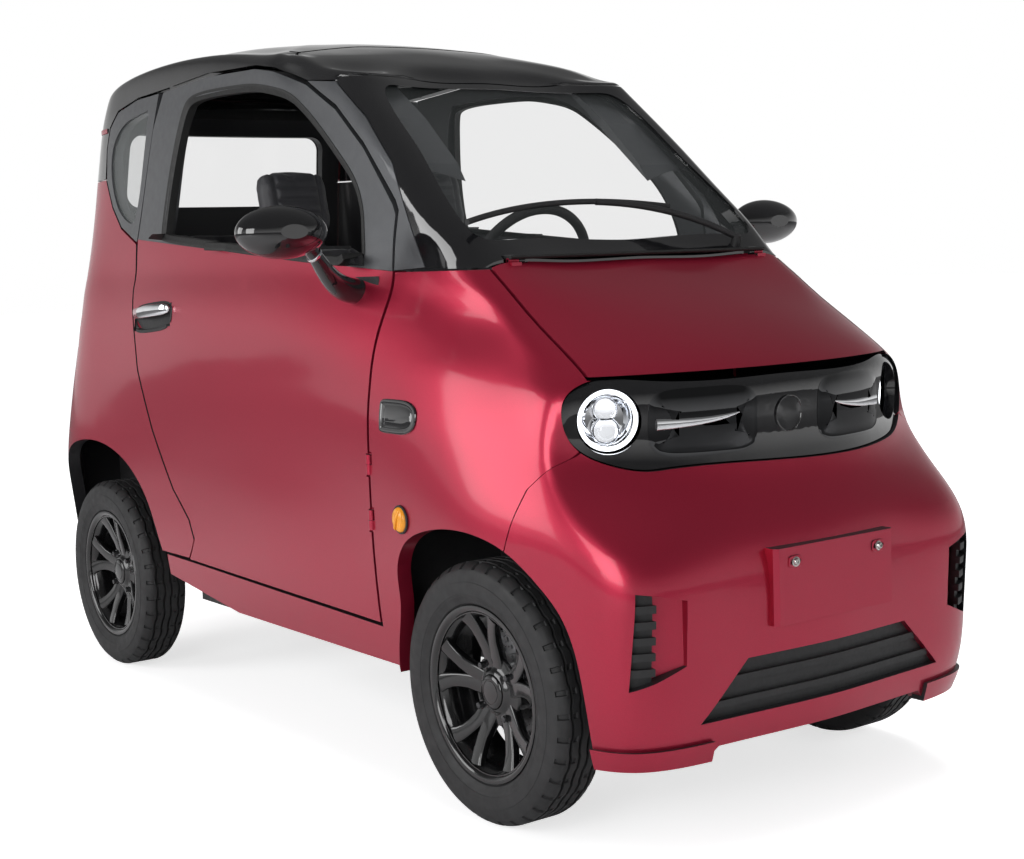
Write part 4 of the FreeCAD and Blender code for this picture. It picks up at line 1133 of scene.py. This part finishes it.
@dataclass
class DoorFittings(SkinFitter):
    """Handle, window seal and inner card of one door."""

    side: Side
    handle_x: float = -1.359
    handle_z: float = 0.947
    lean: float = 0.072

    @property
    def body(self) -> str:
        """CAD body of the door."""
        return f"door_{self.side.word}"

    def handle(self) -> None:
        """Black cup with a bright lever across its upper half."""
        spot = beside(self.skin, self.side, (self.body,), self.handle_x, self.handle_z)
        edge = [(a, b + a * -self.side.value * self.lean) for a, b in oval(0.113, 0.033, 3.4, 56)]
        cup = bmesh.new()
        spot.lay(cup, inset(edge, -0.004), [(0.0, -0.003), (0.0, 0.001), (0.0015, 0.0022), (0.005, 0.0024),
                                            (0.0075, 0.0012), (0.0085, -0.002), (0.0105, -0.014)], follow=False)
        self.make.piece(f"handle_cup_{self.side.word}", cup, self.finishes.matt_black, self.body,
                        "black_plastic")
        lever = bmesh.new()
        profile = [(0.0, 0.0152, 0.0062, 0.0160), (0.4, 0.0150, 0.0060, 0.0150), (0.85, 0.0135, 0.0055, 0.011),
                   (0.97, 0.0100, 0.004, 0.004), (1.0, 0.0035, 0.002, 0.001)]
        profile = [(-t, *rest) for t, *rest in reversed(profile[1:])] + profile
        rows = []
        for t, half, thick, out in profile:
            a = t * 0.108
            base = spot.spot(math.copysign(0.122, t), 0.0)
            z = self.handle_z + 0.015 + a * -self.side.value * self.lean
            centre = Vector((spot.centre.x + spot.across.x * a, base.y + self.side.value * out, z))
            rows.append((facing(centre, Vector((1.0, 0.0, self.lean))), thick, half))
        stack(lever, rows, 16, 2.6)
        self.make.piece(f"handle_lever_{self.side.word}", lever, self.finishes.chrome, self.body,
                        "rim_black", 50.0)

    def opening(self) -> list[tuple[float, float]]:
        """Window opening with its corners cut smooth.

        Returns:
            The anticlockwise outline, across and up.
        """
        path = [(-0.428, 1.060), (-0.640, 1.0755), (-0.900, 1.0985), (-1.130, 1.1195), (-1.352, 1.139),
                (-1.362, 1.150), (-1.360, 1.220), (-1.350, 1.300), (-1.333, 1.375), (-1.310, 1.450),
                (-1.288, 1.476), (-1.220, 1.483), (-1.120, 1.482), (-0.964, 1.476), (-0.870, 1.460),
                (-0.779, 1.438), (-0.708, 1.397), (-0.638, 1.350), (-0.560, 1.291), (-0.491, 1.235),
                (-0.450, 1.172), (-0.434, 1.110)]
        outline = [(x * -self.side.value, z) for x, z in path]
        if sum(a[0] * b[1] - b[0] * a[1] for a, b in zip(outline, outline[1:] + outline[:1])) < 0.0:
            outline.reverse()
        for _ in range(3):
            cut = []
            for (a, b), (c, d) in zip(outline, outline[1:] + outline[:1]):
                cut += [(a * 0.75 + c * 0.25, b * 0.75 + d * 0.25), (a * 0.25 + c * 0.75, b * 0.25 + d * 0.75)]
            outline = cut
        return outline

    def seal(self) -> None:
        """Rubber lip round the window opening."""
        spot = beside(self.skin, self.side, (f"door_frame_{self.side.word}", self.body), 0.0, 0.0)
        lip = bmesh.new()
        spot.lay(lip, inset(self.opening(), -0.008),
                 [(0.0, 0.0), (0.0004, 0.0016), (0.0060, 0.0024), (0.0085, 0.0004), (0.0150, -0.0010),
                  (0.0185, -0.0030), (0.0190, -0.022), (0.0150, -0.022), (0.0145, -0.0040)],
                 follow=False, hollow=True)
        self.make.piece(f"window_seal_{self.side.word}", lip, self.finishes.seal, self.body,
                        "black_plastic", 50.0)

    def card(self) -> None:
        """Moulded inner card with an armrest."""
        sign = self.side.value
        card = bmesh.new()
        rows = []
        for z, y, low, high in ((0.385, 0.452, -1.115, -0.375), (0.400, 0.446, -1.130, -0.365),
                                (0.560, 0.440, -1.220, -0.360), (0.600, 0.428, -1.235, -0.358),
                                (0.660, 0.426, -1.262, -0.356), (0.700, 0.440, -1.290, -0.356),
                                (0.860, 0.446, -1.385, -0.358), (1.000, 0.444, -1.440, -0.362),
                                (1.035, 0.450, -1.450, -0.372)):
            where = facing(at((low + high) / 2.0, sign * (y + 0.006), z), UP, LEFTWARD)
            rows.append((where, (high - low) / 2.0, 0.0065))
        stack(card, rows, 32, 9.0)
        rest = [(-1.08, 0.010, 0.010), (-1.06, 0.022, 0.020), (-0.95, 0.030, 0.026), (-0.75, 0.030, 0.026),
                (-0.58, 0.024, 0.022), (-0.56, 0.010, 0.010)]
        rows = [(facing(at(x, sign * 0.415, 0.705), FORWARD), half, tall) for x, half, tall in rest]
        stack(card, rows, 20, 3.0)
        self.make.piece(f"door_card_{self.side.word}", card, self.finishes.cabin_black, self.body,
                        "black_plastic", 40.0)

    def build(self) -> None:
        """Build the door's fittings."""
        self.handle()
        self.seal()
        self.card()


@dataclass
class WingBadges(SkinFitter):
    """Round-ended port cover and amber marker on a wing."""

    side: Side

    def build(self) -> None:
        """Build the cover and the marker."""
        name = self.side.word
        spot = beside(self.skin, self.side, ("wings",), -0.2125, 0.7635)
        cover = bmesh.new()
        ends = zip(oval(0.0645, 0.0335, 2.5, 56), oval(0.0645, 0.0335, 8.0, 56))
        outline = [near if near[0] * -self.side.value > 0.0 else far for near, far in ends]
        spot.lay(cover, outline, [(0.0, -0.002), (0.0, 0.0025), (0.0015, 0.0042), (0.0060, 0.0046),
                                  (0.0085, 0.0036), (0.0105, 0.0034), (0.0130, 0.0040), (0.0240, 0.0046)])
        self.make.piece(f"port_cover_{name}", cover, self.finishes.gloss_black, "body", "gloss_black")
        spot = beside(self.skin, self.side, ("wings",), -0.205, 0.564)
        bezel = bmesh.new()
        spot.lay(bezel, oval(0.0285, 0.0285), [(0.0, -0.002), (0.0, 0.0030), (0.0012, 0.0042), (0.0030, 0.0044),
                                               (0.0036, 0.0030), (0.0036, 0.0)], follow=False)
        self.make.piece(f"marker_bezel_{name}", bezel, self.finishes.matt_black, "body", "black_plastic")
        lens = bmesh.new()
        spot.lay(lens, oval(0.0248, 0.0248), [(0.0, 0.001), (0.0, 0.0050), (0.0030, 0.0085), (0.0090, 0.0105),
                                              (0.0170, 0.0115)], follow=False)
        way = Vector((0.42, 0.0, 0.9))
        out = LEFTWARD * self.side.value
        rows = []
        for t, half, lift in ((-1.0, 0.0015, 0.0070), (-0.8, 0.0030, 0.0105), (0.0, 0.0036, 0.0135),
                              (0.8, 0.0030, 0.0105), (1.0, 0.0015, 0.0070)):
            centre = spot.spot(0.0, 0.0) + way * (0.0225 * t) + out * lift
            rows.append((facing(centre, way, out), half, 0.0028))
        stack(lens, rows, 12, 2.6)
        self.make.piece(f"marker_lens_{name}", lens, self.finishes.amber, "body", "lamp_clear", 45.0)


@dataclass
class BandDetail(SkinFitter):
    """Smoked reflectors and bare centre disc of the lamp band."""

    height: float = 0.757

    def build(self) -> None:
        """Build the reflectors, their gleams and the disc."""
        for side in Side:
            spot = ahead(self.skin, ("lamp_band",), side.value * 0.192, self.height)
            bowl = bmesh.new()
            spot.lay(bowl, oval(0.112, 0.062, 4.5, 96),
                     [(0.0, -0.001), (0.0, 0.0006), (0.0040, 0.0007), (0.0100, 0.0018), (0.0200, 0.0036),
                      (0.0380, 0.0056), (0.0520, 0.0062)])
            self.make.piece(f"band_reflector_{side.word}", bowl, self.finishes.smoked, "body",
                            "gloss_black", 60.0)
            gleam = bmesh.new()
            rows = []
            for k in range(13):
                share = k / 12.0
                y = side.value * (0.292 - 0.165 * share)
                base = self.skin.hit(("lamp_band",), at(0.9, y, self.height), -FORWARD)
                if base is not None:
                    rise = Vector((0.0050, 0.0, 0.012 * share ** 3))
                    rows.append((facing(base + rise, LEFTWARD), 0.0030, 0.0018 + 0.0085 * (1.0 - share) ** 0.6))
            stack(gleam, rows, 14)
            self.make.piece(f"band_gleam_{side.word}", gleam, self.finishes.chrome, "body", "lamp_clear", 60.0)
        spot = ahead(self.skin, ("lamp_band",), 0.0, self.height)
        disc = bmesh.new()
        spot.lay(disc, oval(0.0345, 0.0345, 2.0, 64),
                 [(0.0, -0.002), (0.0, 0.0030), (0.0010, 0.0036), (0.0022, 0.0032), (0.0028, 0.0022),
                  (0.0120, 0.0022)], follow=False)
        self.make.piece("band_disc", disc, self.finishes.gloss_black, "body", "gloss_black", 40.0)


@dataclass
class PlateBolts(SkinFitter):
    """Two bolts on their slotted tabs at the plate boss."""

    spacing: float = 0.220
    height: float = 0.505

    def build(self) -> None:
        """Build both tabs with their bolts."""
        for side in Side:
            spot = ahead(self.skin, ("front_bumper",), side.value * self.spacing / 2.0, self.height)
            tab = bmesh.new()
            spot.lay(tab, oval(0.0165, 0.0115, 4.0, 40), [(0.0, -0.001), (0.0, 0.0016), (0.0010, 0.0026),
                                                          (0.0060, 0.0026)], follow=False)
            self.make.piece(f"plate_tab_{side.word}", tab, self.finishes.paint, "body", "body_paint")
            base = spot.spot(0.006, 0.006) + Vector((0.0022, -0.006, -0.006))
            bolt = bmesh.new()
            turned(bolt, [(0.0001, -0.004), (0.0092, -0.004), (0.0092, 0.0012), (0.0080, 0.0020),
                          (0.0068, 0.0022), (0.0062, 0.0048), (0.0050, 0.0064), (0.0034, 0.0068),
                          (0.0032, 0.0044), (0.0001, 0.0042)],
                   facing(base, Vector((1.0, side.value * 0.14, 0.06))), 32)
            self.make.piece(f"plate_bolt_{side.word}", bolt, self.finishes.bolt_steel, "body", "disc_steel",
                            35.0)


@dataclass
class RoofDetail(SkinFitter):
    """Red stripes round the rear corners, roof seams, and seals at the tailgate and the cowl."""

    def stripe(self) -> None:
        """Thin red strip along the roof's rear corner."""
        for side in Side:
            strip = bmesh.new()
            rows = []
            for k in range(25):
                turn = math.radians(6.0 + 84.0 * min(k, 16) / 16.0)
                way = Vector((math.cos(turn), -side.value * math.sin(turn), 0.0))
                aim = at(-1.800 + 0.014 * max(k - 16, 0), side.value * 0.30, 1.441)
                spot = self.skin.hit(("roof_panel",), aim - way * 0.6, way)
                if spot is not None and (spot - aim).length < 0.30:
                    rows.append((facing(spot, Vector((way.y, -way.x, 0.0))), 0.0026, 0.0070))
            stack(strip, rows, 12, 4.0)
            self.make.piece(f"roof_stripe_{side.word}", strip, self.finishes.paint, "body", "body_paint", 50.0)

    def across(self, nodes: tuple[str, ...], start: Vector, way: Vector, half: float,
               count: int) -> list[Vector]:
        """Surface points of a line across the car.

        Args:
            nodes: Nodes to look at.
            start: Start of the ray in the car's middle plane.
            way: Direction of the rays.
            half: Reach to each side.
            count: Steps of the line.

        Returns:
            The points that were met, from right to left.
        """
        offsets = [2.0 * half * k / count - half for k in range(count + 1)]
        spots = [self.skin.hit(nodes, start + LEFTWARD * offset, way) for offset in offsets]
        return [spot for spot in spots if spot is not None]

    def strip(self, name: str, spots: list[Vector], half: tuple[float, float], body: str, steps: int,
              square: float) -> None:
        """Rubber strip through points across the car.

        Args:
            name: Name of the piece.
            spots: Centre line.
            half: Half sizes of the strip.
            body: CAD body that carries it.
            steps: Points of its section.
            square: 2 is an ellipse and more is squarer.
        """
        shape = bmesh.new()
        stack(shape, [(facing(spot, LEFTWARD), *half) for spot in spots], steps, square)
        self.make.piece(name, shape, self.finishes.seal, body, "black_plastic", 50.0)

    def build(self) -> None:
        """Build the stripes, the seams and both seals."""
        self.stripe()
        for x in (-0.860, -1.560):
            spots = self.across(("roof_panel",), at(x, 0.0, 2.2), -UP, 0.36, 32)
            self.strip(f"roof_seam_{round(-x * 1000)}", spots, (0.0022, 0.0010), "body", 8, 2.0)
        spots = self.across(("screen_frame", "bonnet"), at(-0.086, 0.0, 1.6), -UP, 0.372, 48)
        for spot in spots:
            spot.z = max(spot.z, 1.060) + 0.0015
        self.strip("cowl_seal", spots, (0.0145, 0.0040), "bonnet", 12, 3.0)
        spots = self.across(("tailgate",), at(-1.2, 0.0, 1.468), -FORWARD, 0.355, 30)
        lift = Vector((0.0115, 0.0, 0.036))
        self.strip("tailgate_seal", [spot + lift for spot in spots], (0.0045, 0.0165), "body", 12, 3.0)


@dataclass
class Helm(Fitter):
    """Steering wheel with a moulded grip, spokes and pad."""

    radius: float = 0.172
    grip: float = 0.0125

    @property
    def place(self) -> Matrix:
        """Matrix at the wheel's middle, Z towards the driver."""
        return facing(at(-0.734, 0.2, 1.020), Vector((-0.906, 0.0, 0.423)))

    def build(self) -> None:
        """Build the wheel."""
        shape = bmesh.new()
        turns = [math.tau * k / 16 for k in range(16)]
        grip = [(self.radius + self.grip * math.cos(turn), self.grip * math.sin(turn)) for turn in turns]
        turned(shape, grip, self.place, 96, closed=True)
        arm = [(0.030, 0.030, 0.010, -0.034), (0.060, 0.024, 0.008, -0.028), (0.110, 0.017, 0.006, -0.014),
               (0.150, 0.018, 0.006, -0.004), (0.166, 0.022, 0.007, 0.0)]
        upright = Matrix.Rotation(math.pi / 2.0, 4, "Y")
        for turn in (0.0, math.pi, -math.pi / 2.0):
            spin = self.place @ Matrix.Rotation(turn, 4, "Z")
            rows = [(spin @ Matrix.Translation((r, 0.0, h)) @ upright, thick, half)
                    for r, half, thick, h in arm]
            stack(shape, rows, 18, 3.0)
        pad = [(0.0001, -0.062), (0.0440, -0.060), (0.0560, -0.045), (0.0590, -0.025), (0.0560, -0.012),
               (0.0480, -0.005), (0.0300, -0.002), (0.0001, -0.001)]
        turned(shape, pad, self.place)
        turned(shape, [(0.0105, -0.225), (0.0105, -0.060), (0.0200, -0.058)], self.place, 24)
        self.make.piece("dressed_steering_wheel", shape, self.finishes.cabin_black, "steering_wheel",
                        "black_plastic", 45.0, ("steering_wheel",))


@dataclass
class Facia(Fitter):
    """Binnacle, screen and vents on the dashboard."""

    def build(self) -> None:
        """Build the dashboard's fittings."""
        hood = bmesh.new()
        rows = [(-0.500, 0.130, 0.030, 1.000), (-0.490, 0.145, 0.042, 1.004), (-0.420, 0.140, 0.040, 1.012),
                (-0.340, 0.110, 0.022, 1.020), (-0.300, 0.080, 0.010, 1.024)]
        stack(hood, [(facing(at(x, 0.2, z), FORWARD), half, tall) for x, half, tall, z in rows], 36, 3.4)
        self.make.piece("binnacle", hood, self.finishes.cabin_black, "body", "black_plastic", 40.0)
        screen = bmesh.new()
        rows = [(-0.5005, 0.118, 0.026), (-0.5035, 0.117, 0.025), (-0.5040, 0.112, 0.020)]
        stack(screen, [(facing(at(x, 0.2, 1.000), -FORWARD), half, tall) for x, half, tall in rows], 36, 5.0)
        self.make.piece("cluster_screen", screen, self.finishes.gloss_black, "body", "gloss_black", 40.0)
        for k, y in enumerate((-0.340, -0.060)):
            self.vent(f"air_vent_{k}", facing(at(-0.500, y, 0.930), Vector((-1.0, 0.0, 0.25))))

    def vent(self, name: str, where: Matrix) -> None:
        """Round air vent with five laths.

        Args:
            name: Name of the piece.
            where: Place of the vent, its Z looking out.
        """
        vent = bmesh.new()
        turned(vent, [(0.0300, -0.030), (0.0420, -0.012), (0.0420, 0.006), (0.0390, 0.010), (0.0350, 0.009),
                      (0.0330, 0.000), (0.0330, -0.020)], where, 40)
        across = Matrix.Rotation(math.pi / 2, 4, "Y")
        for j in range(5):
            h = -0.022 + 0.011 * j
            half = math.sqrt(0.0335 ** 2 - h ** 2)
            stack(vent, [(where @ Matrix.Translation((a, h, -0.006)) @ across, 0.006, 0.0014)
                         for a in (-half, 0.0, half)], 10)
        self.make.piece(name, vent, self.finishes.matt_black, "body", "black_plastic", 40.0)


@dataclass
class Cushion(Fitter):
    """One padded piece of seat, swollen by cloth pressure and stitched."""

    name: str
    centre: Vector
    half: Vector
    lean: float = 0.0
    square: float = 5.0
    cap: float = 0.012
    shrink: float = 0.93
    seam_depth: float = 0.005
    seam_width: float = 0.006
    channel_width: float = 0.007

    @property
    def home(self) -> Matrix:
        """Matrix at the cushion's middle."""
        return Matrix.Translation(self.centre) @ Matrix.Rotation(self.lean, 4, "Y")

    def build(self) -> bpy.types.Object:
        """Build the cushion from a slightly smaller form.

        Returns:
            The finished cushion.
        """
        shape = bmesh.new()
        small = self.half * self.shrink
        rows = []
        for h, share in ((-1.0, 0.80), (-0.92, 0.93), (-0.6, 1.0), (0.0, 1.0), (0.6, 1.0), (0.92, 0.93),
                         (1.0, 0.80)):
            where = self.home @ Matrix.Translation((0.0, 0.0, small.z * h))
            rows.append((where, small.x * share, small.y * share))
        stack(shape, rows, 36, self.square)
        bmesh.ops.recalc_face_normals(shape, faces=shape.faces)
        mesh = as_mesh(self.name, shape)
        mesh.materials.append(self.finishes.hide)
        made = bpy.data.objects.new(self.name, mesh)
        bench = bpy.data.scenes.new("upholstery_bench")
        bench.collection.objects.link(made)
        self.swell(made, bench)
        self.stitch(made)
        bench.collection.objects.unlink(made)
        bpy.data.scenes.remove(bench)
        bpy.context.scene.collection.objects.link(made)
        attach(made, "body")
        return made

    def swell(self, made: bpy.types.Object, bench: bpy.types.Scene) -> None:
        """Inflate the form and keep every point within its cap.

        Args:
            made: The cushion.
            bench: Scene that holds the cushion alone.
        """
        remesh = made.modifiers.new("remesh", "REMESH")
        remesh.mode = "VOXEL"
        remesh.voxel_size = 0.007
        self.settle(made, bench)
        rest = [vert.co.copy() for vert in made.data.vertices]
        cloth = made.modifiers.new("cloth", "CLOTH")
        cloth.settings.use_pressure = True
        cloth.settings.uniform_pressure_force = 4.0
        cloth.settings.effector_weights.gravity = 0.0
        for frame in range(1, 17):
            bench.frame_set(frame)
        self.settle(made, bench)
        for vert, start in zip(made.data.vertices, rest):
            move = vert.co - start
            if move.length > self.cap:
                vert.co = start + move.normalized() * self.cap
        smooth = made.modifiers.new("smooth", "SUBSURF")
        smooth.levels = 1
        smooth.render_levels = 1
        self.settle(made, bench)
        made.data.shade_smooth()

    def settle(self, made: bpy.types.Object, bench: bpy.types.Scene) -> None:
        """Keep what the modifiers make and take them off.

        Args:
            made: The cushion.
            bench: Scene that holds the cushion alone.
        """
        with bpy.context.temp_override(scene=bench, view_layer=bench.view_layers[0]):
            graph = bpy.context.evaluated_depsgraph_get()
            mesh = bpy.data.meshes.new_from_object(made.evaluated_get(graph))
        made.modifiers.clear()
        spent = made.data
        made.data = mesh
        bpy.data.meshes.remove(spent)
        mesh.name = self.name

    def stitch(self, made: bpy.types.Object) -> None:
        """Press two long seams and three cross channels into the pad's faces.

        Args:
            made: The cushion.
        """
        home = self.home.inverted()
        long = max(self.half.x, self.half.z)
        normals = [vert.normal.copy() for vert in made.data.vertices]
        for vert, normal in zip(made.data.vertices, normals):
            spot = home @ vert.co
            u = spot.y / self.half.y
            v = spot.x / self.half.x if self.half.x > self.half.z else spot.z / self.half.z
            grooves = [(u - line) * self.half.y / self.seam_width for line in (-0.62, 0.62)]
            if abs(u) < 0.62:
                grooves += [(v - line) * long / self.channel_width for line in (-0.45, 0.0, 0.45)]
            vert.co -= normal * self.seam_depth * max(math.exp(-away ** 2) for away in grooves)


@dataclass
class Seats(Fitter):
    """Front seats and rear bench."""

    def build(self) -> None:
        """Pad every seat."""
        lean = math.radians(-13.0)
        for side in Side:
            y = side.value * 0.205
            for name, place, half, *shape in (
                    ("seat_cushion", (-0.785, y, 0.530), (0.222, 0.203, 0.050)),
                    ("seat_back", (-1.072, y, 0.855), (0.048, 0.198, 0.272), lean),
                    ("headrest", (-1.155, y, 1.215), (0.038, 0.098, 0.078), lean, 3.4, 0.008)):
                self.pad(f"{name}_{side.word}", place, half, *shape)
            self.shell(f"seat_shell_{side.word}", y)
        self.pad("bench_cushion", (-1.570, 0.0, 0.700), (0.186, 0.412, 0.040))
        bench = self.pad("bench_back", (-1.780, 0.0, 0.955), (0.042, 0.295, 0.225), math.radians(-8.0))
        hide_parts("rear_seat")

    def pad(self, name: str, place: tuple[float, float, float], half: tuple[float, float, float],
            *shape: float) -> bpy.types.Object:
        """Build one cushion.

        Args:
            name: Name of the piece.
            place: Its middle, from the front axle.
            half: Its half sizes.
            *shape: Its lean, squareness and cap, where they aren't the usual ones.

        Returns:
            The finished cushion.
        """
        return Cushion(self.make, self.finishes, name, at(*place), Vector(half), *shape).build()

    def shell(self, name: str, y: float) -> None:
        """Moulded back, headrest posts and base of one front seat.

        Args:
            name: Name of the piece.
            y: The seat's middle.
        """
        shell = bmesh.new()
        rows = [(-1.020, 0.600, 0.170, 0.020), (-1.090, 0.760, 0.190, 0.022), (-1.130, 0.960, 0.186, 0.022),
                (-1.158, 1.105, 0.160, 0.016)]
        back = Vector((-0.23, 0.0, 1.0))
        stack(shell, [(facing(at(x, y, z), back, LEFTWARD), thick, half) for x, z, half, thick in rows],
              28, 4.0)
        for post in (-0.045, 0.045):
            tubed(shell, [at(-1.135, y + post, 1.080), at(-1.152, y + post, 1.170)], 0.006)
        rows = [(0.304, 1.0), (0.34, 0.97), (0.46, 0.97), (0.478, 1.0)]
        stack(shell, [(facing(at(-0.790, y, z), UP, LEFTWARD), 0.165 * s, 0.148 * s) for z, s in rows], 24, 6.0)
        self.make.piece(name, shell, self.finishes.cabin_black, "body", "black_plastic", 40.0, ("front_seats",))


@dataclass
class Springs(Fitter):
    """Coil springs over the front wheels' arms."""

    radius: float = 0.034
    turns: int = 5
    wire: float = 0.0045

    def coil(self, name: str, low: Vector, high: Vector) -> None:
        """Wind one spring between two points.

        Args:
            name: Name of the piece.
            low: Lower end.
            high: Upper end.
        """
        where = facing(low, high - low)
        tall = (high - low).length
        steps = self.turns * 20
        points = []
        for k in range(steps + 1):
            turn = math.tau * self.turns * k / steps
            spot = Vector((self.radius * math.cos(turn), self.radius * math.sin(turn), tall * k / steps))
            points.append(where @ spot)
        shape = bmesh.new()
        tubed(shape, points, self.wire, 8)
        self.make.piece(name, shape, self.finishes.iron, "body", "iron", 60.0)

    def build(self) -> None:
        """Wind the springs."""
        for side in Side:
            low = at(0.0, side.value * 0.2935, 0.412)
            self.coil(f"front_spring_{side.word}", low, at(0.0, side.value * 0.2715, 0.548))


@dataclass
class TailDetail(SkinFitter):
    """Light guides in the tail lamps."""

    def build(self) -> None:
        """Build the light guides."""
        for side in Side:
            for k, z in enumerate((0.900, 0.955, 1.010)):
                spot = Patch(self.skin, ("tail_lamps",), at(-2.02, side.value * 0.436, z), FORWARD, -LEFTWARD)
                bar = bmesh.new()
                spot.lay(bar, oval(0.022, 0.010, 4.0, 36), [(0.0, -0.001), (0.0, 0.0010), (0.0015, 0.0018),
                                                            (0.005, 0.0016)])
                finish = self.finishes.lens_white if k == 1 else self.finishes.red_lens
                self.make.piece(f"tail_guide_{side.word}_{k}", bar, finish, "body", "lamp_red", 40.0)


@dataclass
class Studio:
    """Camera, floor, lamps and world."""

    eye: tuple[float, float, float] = (3.313, -2.235, 1.064)
    yaw: float = 53.59
    pitch: float = 5.97
    roll: float = -2.04
    focal_px: float = 1647.0
    frame_px: float = 1024.0
    horizon: float = 0.85
    zenith: float = 0.12
    floor_reach: tuple[float, float] = (1.6, 6.0)
    floor_lift: tuple[float, float] = (0.68, 1.0)
    aim: tuple[float, float, float] = (0.0, 0.0, 0.7)
    lamps: list[tuple[str, tuple[float, float, float], float, float]] = field(default_factory=lambda: [
        ("key_panel", (2.6, -4.4, 2.0), 2.4, 85.0),
        ("side_panel", (-1.6, -4.6, 2.2), 2.6, 80.0),
        ("top_panel", (0.2, 0.4, 4.8), 3.2, 120.0),
        ("front_panel", (4.4, 2.6, 2.3), 2.2, 45.0),
        ("back_panel", (-4.0, 2.6, 2.6), 2.4, 60.0),
    ])

    def camera(self) -> None:
        """Place the camera where the photograph was taken."""
        yaw, pitch, roll = (math.radians(a) for a in (self.yaw, self.pitch, self.roll))
        back = Vector((math.sin(yaw) * math.cos(pitch), -math.cos(yaw) * math.cos(pitch), math.sin(pitch)))
        right = Vector((math.cos(yaw), math.sin(yaw), 0.0))
        up = back.cross(right)
        across = right * math.cos(roll) + up * math.sin(roll)
        above = up * math.cos(roll) - right * math.sin(roll)
        data = bpy.data.cameras.new("photo_camera")
        data.sensor_width = 36.0
        data.lens = 36.0 * self.focal_px / self.frame_px
        data.clip_start = 0.05
        made = placed("photo_camera", data)
        place = Matrix((across, above, back)).transposed().to_4x4()
        place.translation = Vector(self.eye)
        made.matrix_world = place
        bpy.context.scene.camera = made

    def world(self) -> None:
        """White surroundings for the eye, softer light for the car."""
        made = bpy.data.worlds.new("studio")
        bpy.context.scene.world = made
        made.use_nodes = True
        tree = Tree(made.node_tree)
        light = made.node_tree.nodes["Background"]
        light.inputs["Color"].default_value = WHITE
        height = tree.node("ShaderNodeSeparateXYZ")
        tree.link(tree.node("ShaderNodeTexCoord").outputs["Generated"], height.inputs[0])
        strength = tree.remap(height.outputs["Z"], (0.0, 0.42), (self.horizon, self.zenith))
        tree.link(strength, light.inputs["Strength"])
        seen = tree.node("ShaderNodeBackground", Color=WHITE, Strength=1.0)
        mix = tree.node("ShaderNodeMixShader")
        tree.link(tree.eye_rays(), mix.inputs["Fac"])
        tree.link(light.outputs["Background"], mix.inputs[1])
        tree.link(seen.outputs["Background"], mix.inputs[2])
        tree.link(mix.outputs["Shader"], made.node_tree.nodes["World Output"].inputs["Surface"])

    def floor(self) -> None:
        """Pale floor that keeps the car's shadow."""
        shape = bmesh.new()
        bmesh.ops.create_grid(shape, x_segments=1, y_segments=1, size=40.0)
        mesh = as_mesh("studio_floor", shape)
        graph = Graph("floor_white")
        graph.surface(Base_Color=(0.86, 0.86, 0.87, 1.0), Roughness=0.9, Specular_IOR_Level=0.1,
                      Emission_Color=WHITE)
        away = graph.node("ShaderNodeVectorMath", operation="LENGTH")
        graph.link(graph.place(), away.inputs[0])
        glow = graph.node("ShaderNodeMath", operation="MULTIPLY")
        graph.link(graph.eye_rays(), glow.inputs[0])
        graph.link(graph.remap(away.outputs["Value"], self.floor_reach, self.floor_lift), glow.inputs[1])
        graph.link(glow.outputs[0], graph.shader.inputs["Emission Strength"])
        mesh.materials.append(graph.material)
        placed("studio_floor", mesh)

    def light(self) -> None:
        """Hang the soft lamps."""
        for name, place, size, power in self.lamps:
            data = bpy.data.lights.new(name, "AREA")
            data.shape = "SQUARE"
            data.size = size
            data.energy = power
            made = placed(name, data)
            made.location = place
            made.rotation_euler = (Vector(self.aim) - Vector(place)).to_track_quat("-Z", "Y").to_euler()
            made.visible_glossy = name in ("key_panel", "side_panel")

    def build(self) -> None:
        """Set the stage."""
        self.camera()
        self.world()
        self.floor()
        self.light()
        bpy.context.scene.view_settings.view_transform = "Standard"


def main() -> None:
    """Load the frame, dress the car and set the stage."""
    logging.basicConfig(level=logging.INFO, format="%(name)s %(relativeCreated)d ms: %(message)s")
    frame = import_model()
    make = Maker(frame)
    finishes = Finishes()
    studio = Studio()
    studio.build()
    log.info("studio set")
    skin = Skin(frame)
    fitters = [kind(make, finishes) for kind in (Coachwork, Glass, Running, Cabin, Trim)]
    fitters += [kind(make, finishes, skin) for kind in (BandDetail, PlateBolts, RoofDetail)]
    fitters += [Springs(make, finishes), TailDetail(make, finishes, skin)]
    for fitter in fitters:
        fitter.build()
        log.info("%s built", type(fitter).__name__)
    for side in Side:
        HeadLamp(make, finishes, side).build()
        DoorFittings(make, finishes, skin, side).build()
        WingBadges(make, finishes, skin, side).build()
        log.info("lamp, door and wing fittings %s built", side.word)
        for end in ("front", "rear"):
            Wheel(make, finishes, end, side).build()
            log.info("wheel %s %s built", end, side.word)


if __name__ == "__main__":
    main()
